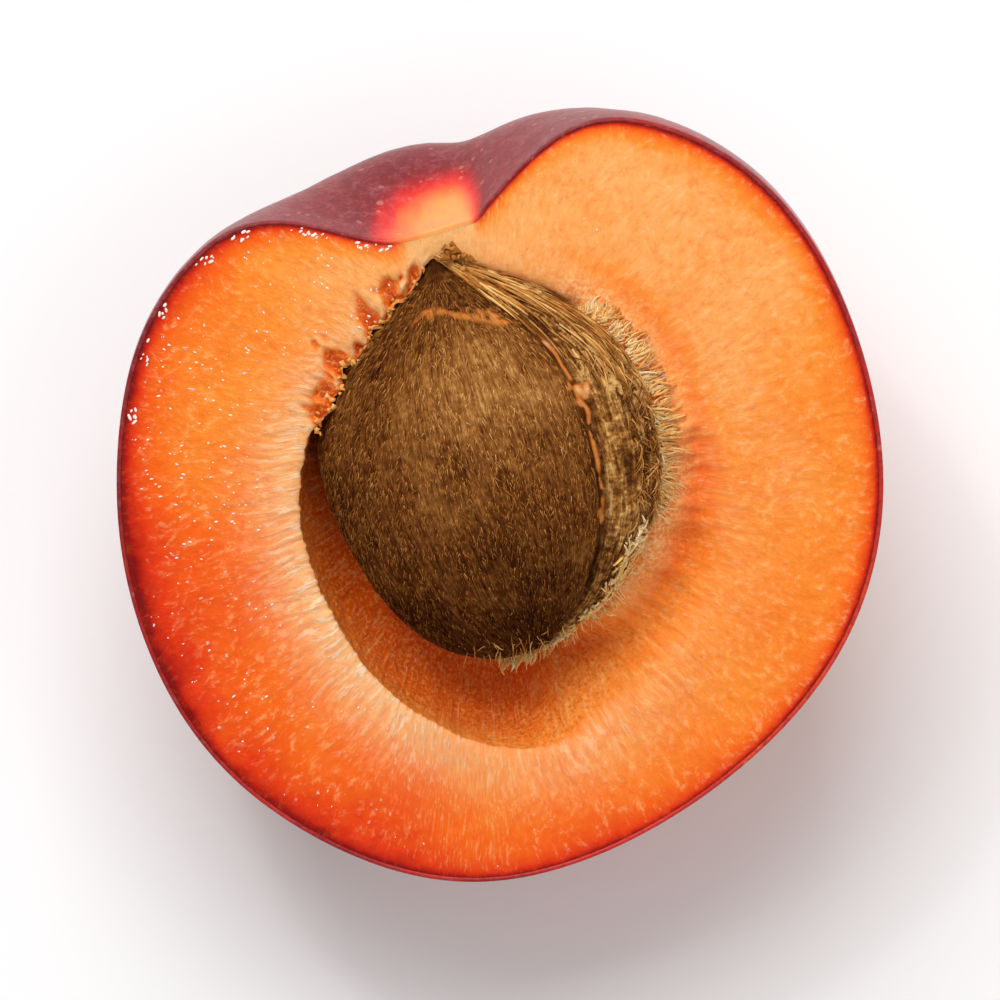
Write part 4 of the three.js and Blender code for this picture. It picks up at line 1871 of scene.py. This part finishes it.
    def straw(self) -> Piece:
        """Straw-like fibres along the keel, short wisps at the blunt end, and pads in the hollow's ends.

        Returns:
            The piece.
        """
        draw = np.random.default_rng(self.seed + 1)
        count, wisps = self.straw_count, self.wisp_count
        share = 0.03 + 0.82 * draw.uniform(0.0, 1.0, count) ** 1.1
        lower = smoothstep(share, 0.32, 0.46)
        top = 1.0 - smoothstep(share, 0.16, 0.32)
        above = draw.uniform(-14.0, self.stone.groove_at - 2.0 - 12.0 * lower + 12.0 * top, count)
        length = draw.uniform(0.02, 0.09, count) * (1.0 - 0.66 * lower)
        root, root_up = self.on_stone(share, above)
        drift = draw.normal(0.0, 1.6 + 4.0 * lower, count)
        most = self.stone.groove_at - 2.0 - 11.0 * lower + 12.0 * top
        tip, tip_up = self.on_stone(np.minimum(share + length, 0.97), np.minimum(above + drift, most))
        root = root + root_up * draw.uniform(0.0, 0.1, count)[:, None]
        tip = tip + tip_up * draw.uniform(0.0, 0.3, count)[:, None]
        bend = root_up * (draw.uniform(0.02, 0.16, count) + length * 0.8)[:, None]
        radius = draw.uniform(0.035, 0.09, count)
        radius = radius + 0.04 * (1.0 - lower) * (draw.uniform(0.0, 1.0, count) > 0.7) + 0.03 * top
        clump = 0.3 * soft_noise(root / 0.8, 81)
        tone = np.clip(draw.normal(0.5, 0.22, count) + clump - 0.12 * lower + 0.12 * top, 0.0, 1.0)
        root_w, up_w = self.on_stone(draw.uniform(0.84, 0.985, wisps), draw.uniform(0.0, 150.0, wisps))
        tip_w = root_w + up_w * draw.uniform(0.25, 0.8, wisps)[:, None] + draw.normal(0.0, 0.3, (wisps, 3))
        pad = np.repeat(np.array(self.pads), self.pad_strands, axis=0)
        root_p = pad + draw.normal(0.0, 0.26, pad.shape)
        tip_p = root_p + draw.normal(0.0, 0.2, pad.shape) + np.array([0.3, -0.25, 0.0])
        rows = (
            (root, root_w, root_p), (tip, tip_w, tip_p),
            (bend, draw.normal(0.0, 0.06, (wisps, 3)), draw.normal(0.0, 0.04, pad.shape)),
            (radius, draw.uniform(0.03, 0.06, wisps), draw.uniform(0.18, 0.4, len(pad))),
            (tone, draw.uniform(0.2, 0.9, wisps), draw.uniform(0.3, 0.6, len(pad))),
        )
        return Strands("straw", 5).build(*(np.concatenate(row) for row in rows), self.lie)

    def felt(self) -> Piece:
        """Short fine hairs that lie along the stone's dome.

        Returns:
            The piece.
        """
        draw = np.random.default_rng(self.seed + 2)
        count = self.hair_count
        share = np.arccos(1.0 - 2.0 * draw.uniform(0.06, 0.985, count)) / math.pi
        above = draw.uniform(self.stone.groove_at + 3.0, 168.0, count)
        root, up = self.on_stone(share, above)
        lean = draw.normal(0.0, 0.9, count) + 1.8 * smoothstep(above, 80.0, 150.0)
        tip, _ = self.on_stone(np.minimum(share + draw.uniform(0.004, 0.016, count), 0.99), above + lean)
        tip = tip + up * draw.uniform(0.0, 0.07, count)[:, None]
        bend = up * draw.uniform(0.01, 0.04, count)[:, None]
        # Painted highlight and shade: hairs are paler at the painted highlight on the dome and darker towards
        # the blunt end
        painted_highlight = bell(share - 0.39, 0.15) * bell(above - 68.0, 40.0)
        tone = draw.normal(0.26, 0.14, count) + 0.4 * painted_highlight - 0.24 * smoothstep(share, 0.5, 0.9)
        radius = draw.uniform(0.02, 0.042, count)
        return Strands("felt", 2).build(root, tip, bend, radius, np.clip(tone, 0.0, 1.0), self.lie)


@dataclass
class Juice:
    """Beads of juice on the cut face, most of them along the lip on the low shoulder's side.

    Attributes:
        runs: directions from the fruit's middle of the runs along the lip.
        field: the direction round which the other beads are strewn, and how widely.
        levels: heights of a bead's rings, from -1 to 1.
        flatness: a bead's height as a share of its width.
    """

    form: FruitForm
    flesh: Flesh
    lie: Lie
    seed: int = 19
    runs: tuple[float, ...] = (115.0, 118.5, 124.5, 126.5, 135.0, 141.0, 150.0, 158.0, 167.0)
    run_beads: int = 7
    field: tuple[float, float] = (172.0, 36.0)
    field_beads: int = 330
    corners: int = 8
    levels: tuple[float, ...] = (-0.5, 0.0, 0.45, 0.8)
    flatness: float = 0.55

    def build(self) -> Piece:
        """Flat ovals, each a closed dome of rings, its base just under the flesh.

        Returns:
            The piece.
        """
        draw = np.random.default_rng(self.seed)
        count, in_runs = self.field_beads, self.run_beads * len(self.runs)
        along = np.repeat(np.array(self.runs), self.run_beads) + draw.normal(0.0, 1.0, in_runs)
        lip = np.stack([along, draw.uniform(0.1, 0.7, in_runs), draw.uniform(0.05, 0.11, in_runs)], axis=-1)
        spread = draw.normal(*self.field, count)
        strewn = np.stack([spread, draw.uniform(0.5, 9.0, count), draw.uniform(0.025, 0.065, count)], axis=-1)
        angle, inwards, size = np.concatenate([lip, strewn]).T
        towards = direction(angle, 0.0)
        middle = towards * (self.form.radius(towards) - self.flesh.skin.thickness - inwards)[:, None]
        offset = middle[:, :2] - np.array(self.flesh.hollow.middle)
        around = bearing(offset)
        on_face = np.hypot(*offset.T) > self.flesh.edge(around) + 0.6
        middle, around, size = middle[on_face], around[on_face], size[on_face]
        across = np.where(np.arange(len(size)) < in_runs, 90.0, 0.0)
        turned = around + across + draw.normal(0.0, 20.0, len(size))
        stretch = draw.uniform(1.0, 2.4, len(size))
        shape = self.dome()
        points = (
            middle[:, None]
            + direction(turned, 0.0)[:, None] * (shape[:, 0] * (size * stretch)[:, None])[..., None]
            + direction(turned + 90.0, 0.0)[:, None] * (shape[:, 1] * size[:, None])[..., None]
            + np.array([0.0, 0.0, 1.0]) * (shape[:, 2] * (size * self.flatness)[:, None])[..., None]
        )
        levels, corners = len(self.levels), self.corners
        place = np.arange(levels * corners).reshape(levels, corners)
        beside = np.roll(place, -1, axis=1)
        sides = np.stack([place[:-1], beside[:-1], beside[1:], place[1:]], axis=-1).reshape(-1, 4)
        under, over = (np.full(corners, levels * corners + k) for k in (0, 1))
        caps = np.concatenate([
            np.stack([under, beside[0], place[0]], axis=-1), np.stack([over, place[-1], beside[-1]], axis=-1),
        ])
        step = (np.arange(len(size)) * len(shape))[:, None, None]
        quads, triangles = (sides[None] + step).reshape(-1, 4), (caps[None] + step).reshape(-1, 3)
        return make_object("juice", self.lie.to_model(points.reshape(-1, 3)), quads, triangles, {})

    def dome(self) -> Array:
        """The corners of one bead of radius 1: rings of a sphere, then its lowest and its highest point.

        Returns:
            Points, of which the lowest is level with the lowest ring.
        """
        turn, rise = np.meshgrid(np.arange(self.corners) * 360.0 / self.corners, np.array(self.levels))
        ring = np.sqrt(1.0 - rise**2)
        rings = np.stack([ring * np.cos(np.radians(turn)), ring * np.sin(np.radians(turn)), rise], axis=-1)
        return np.concatenate([rings.reshape(-1, 3), [[0.0, 0.0, self.levels[0]], [0.0, 0.0, 1.0]]])


# ---- studio

class Part(Enum):
    """What each lamp is for."""

    KEY = "key"
    FILL = "fill"
    SPARK = "spark"


@dataclass(frozen=True)
class Lamp:
    """One soft square lamp: where it is from the fruit, in metres, its side and its power in watts."""

    part: Part
    offset: tuple[float, float, float]
    side: float
    power: float


@dataclass(frozen=True)
class Studio:
    """A pale floor, soft lamps and the camera that looks down on the cut face.

    Attributes:
        lean_back: degrees between the camera's line and the cut face's.
        fill_share: the part of the frame's width that the fruit takes.
    """

    lie: Lie
    lean_back: float = 8.0
    distance: float = 1.0
    fill_share: float = 0.76
    surroundings: float = 0.46
    floor_half: float = 2.0
    floor_colour: Colour = (0.93, 0.93, 0.93, 1.0)
    floor_roughness: float = 0.6
    lamps: tuple[Lamp, ...] = (
        Lamp(Part.KEY, (-0.08, 0.32, 0.46), 0.40, 2.5),
        Lamp(Part.FILL, (0.3, -0.25, 0.5), 0.6, 0.5),
        Lamp(Part.SPARK, (-0.2, 0.3, 0.5), 0.05, 0.28),
    )

    def build(self) -> None:
        """Makes the floor, the lamps, the surrounding light and the camera."""
        low, high = (Vector(corner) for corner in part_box("fruit_half"))
        target = (low + high) / 2.0
        self.make_floor()
        for lamp in self.lamps:
            self.make_lamp(lamp, target)
        world = bpy.data.worlds.new("surroundings")
        bpy.context.scene.world = world
        world.use_nodes = True
        board, background = Board(world.node_tree), world.node_tree.nodes["Background"]
        board.fill(background, {"Color": (1.0, 1.0, 1.0, 1.0), "Strength": self.surroundings})
        bpy.context.scene.view_settings.view_transform = "Standard"
        self.make_camera(target, (high - low).x)

    def make_floor(self) -> None:
        """A large pale square that the fruit lies on."""
        corners = np.array([[-1.0, -1.0, 0.0], [1.0, -1.0, 0.0], [1.0, 1.0, 0.0], [-1.0, 1.0, 0.0]])
        face = np.array([[0, 1, 2, 3]])
        floor = make_object("floor", corners * self.floor_half, face, np.zeros((0, 3), int), {})
        material, board, shader = new_material("pale_floor")
        board.fill(shader, {"Base Color": self.floor_colour, "Roughness": self.floor_roughness})
        floor.data.materials.append(material)

    @staticmethod
    def make_lamp(lamp: Lamp, target: Vector) -> None:
        """A square area light turned towards the fruit.

        Args:
            lamp: what the light is like.
            target: the middle of the fruit.
        """
        light = bpy.data.lights.new(lamp.part.value, "AREA")
        light.energy, light.size = lamp.power, lamp.side
        made = add_object(lamp.part.value, light)
        made.location = target + Vector(lamp.offset)
        made.rotation_euler = (-Vector(lamp.offset)).to_track_quat("-Z", "Y").to_euler()

    def make_camera(self, target: Vector, width: float) -> None:
        """A long lens, square to the cut face but for a few degrees towards the stem end.

        Args:
            target: the middle of the fruit.
            width: how wide the fruit is, in metres, to fill its share of the frame.
        """
        camera = bpy.data.cameras.new("camera")
        camera.lens = camera.sensor_width * self.distance / (width / self.fill_share)
        made = add_object("camera", camera)
        lean = math.radians(self.lie.tilt - self.lean_back)
        made.location = target + Vector((0.0, -math.sin(lean), math.cos(lean))) * self.distance
        made.rotation_euler = (lean, 0.0, 0.0)
        bpy.context.scene.camera = made


def main() -> None:
    """Builds the fruit, its stone, what clings to them and the studio, and logs the lie."""
    logging.basicConfig(level=logging.INFO, format="%(name)s %(message)s")
    effects = Effects()
    form, hollow, stone_form = FruitForm(), HollowForm(), StoneForm()
    lie = Lie.from_frame(form, "fruit_half")
    log.info("lie: %s", lie)
    skin = Skin(form, lie)
    flesh = Flesh(form, hollow, stone_form, lie, skin)
    shell = Stone(stone_form, lie)
    fibres = Fibres(stone_form, shell, flesh, lie)
    torn = StrandFinish(
        "torn_flesh", srgb(238, 118, 30), srgb(255, 182, 98), srgb(255, 224, 170), scatter_share=0.45
    )
    straw = StrandFinish("straw", srgb(86, 44, 14), srgb(182, 116, 50), srgb(236, 186, 112))
    finish_piece(skin.build(), SkinFinish().make(effects), "skin", "fruit_half")
    finish_piece(flesh.build(), FleshFinish().make(effects), "flesh", "fruit_half")
    finish_piece(shell.build(), StoneFinish().make(effects), "stone", "stone")
    finish_piece(fibres.torn_flesh(), torn.make(), "fibres")
    straw_material = straw.make()
    finish_piece(fibres.straw(), straw_material, "stone")
    finish_piece(fibres.felt(), straw_material, "stone")
    finish_piece(Juice(form, flesh, lie).build(), JuiceFinish().make(), "flesh")
    Studio(lie).build()


if __name__ == "__main__":
    main()
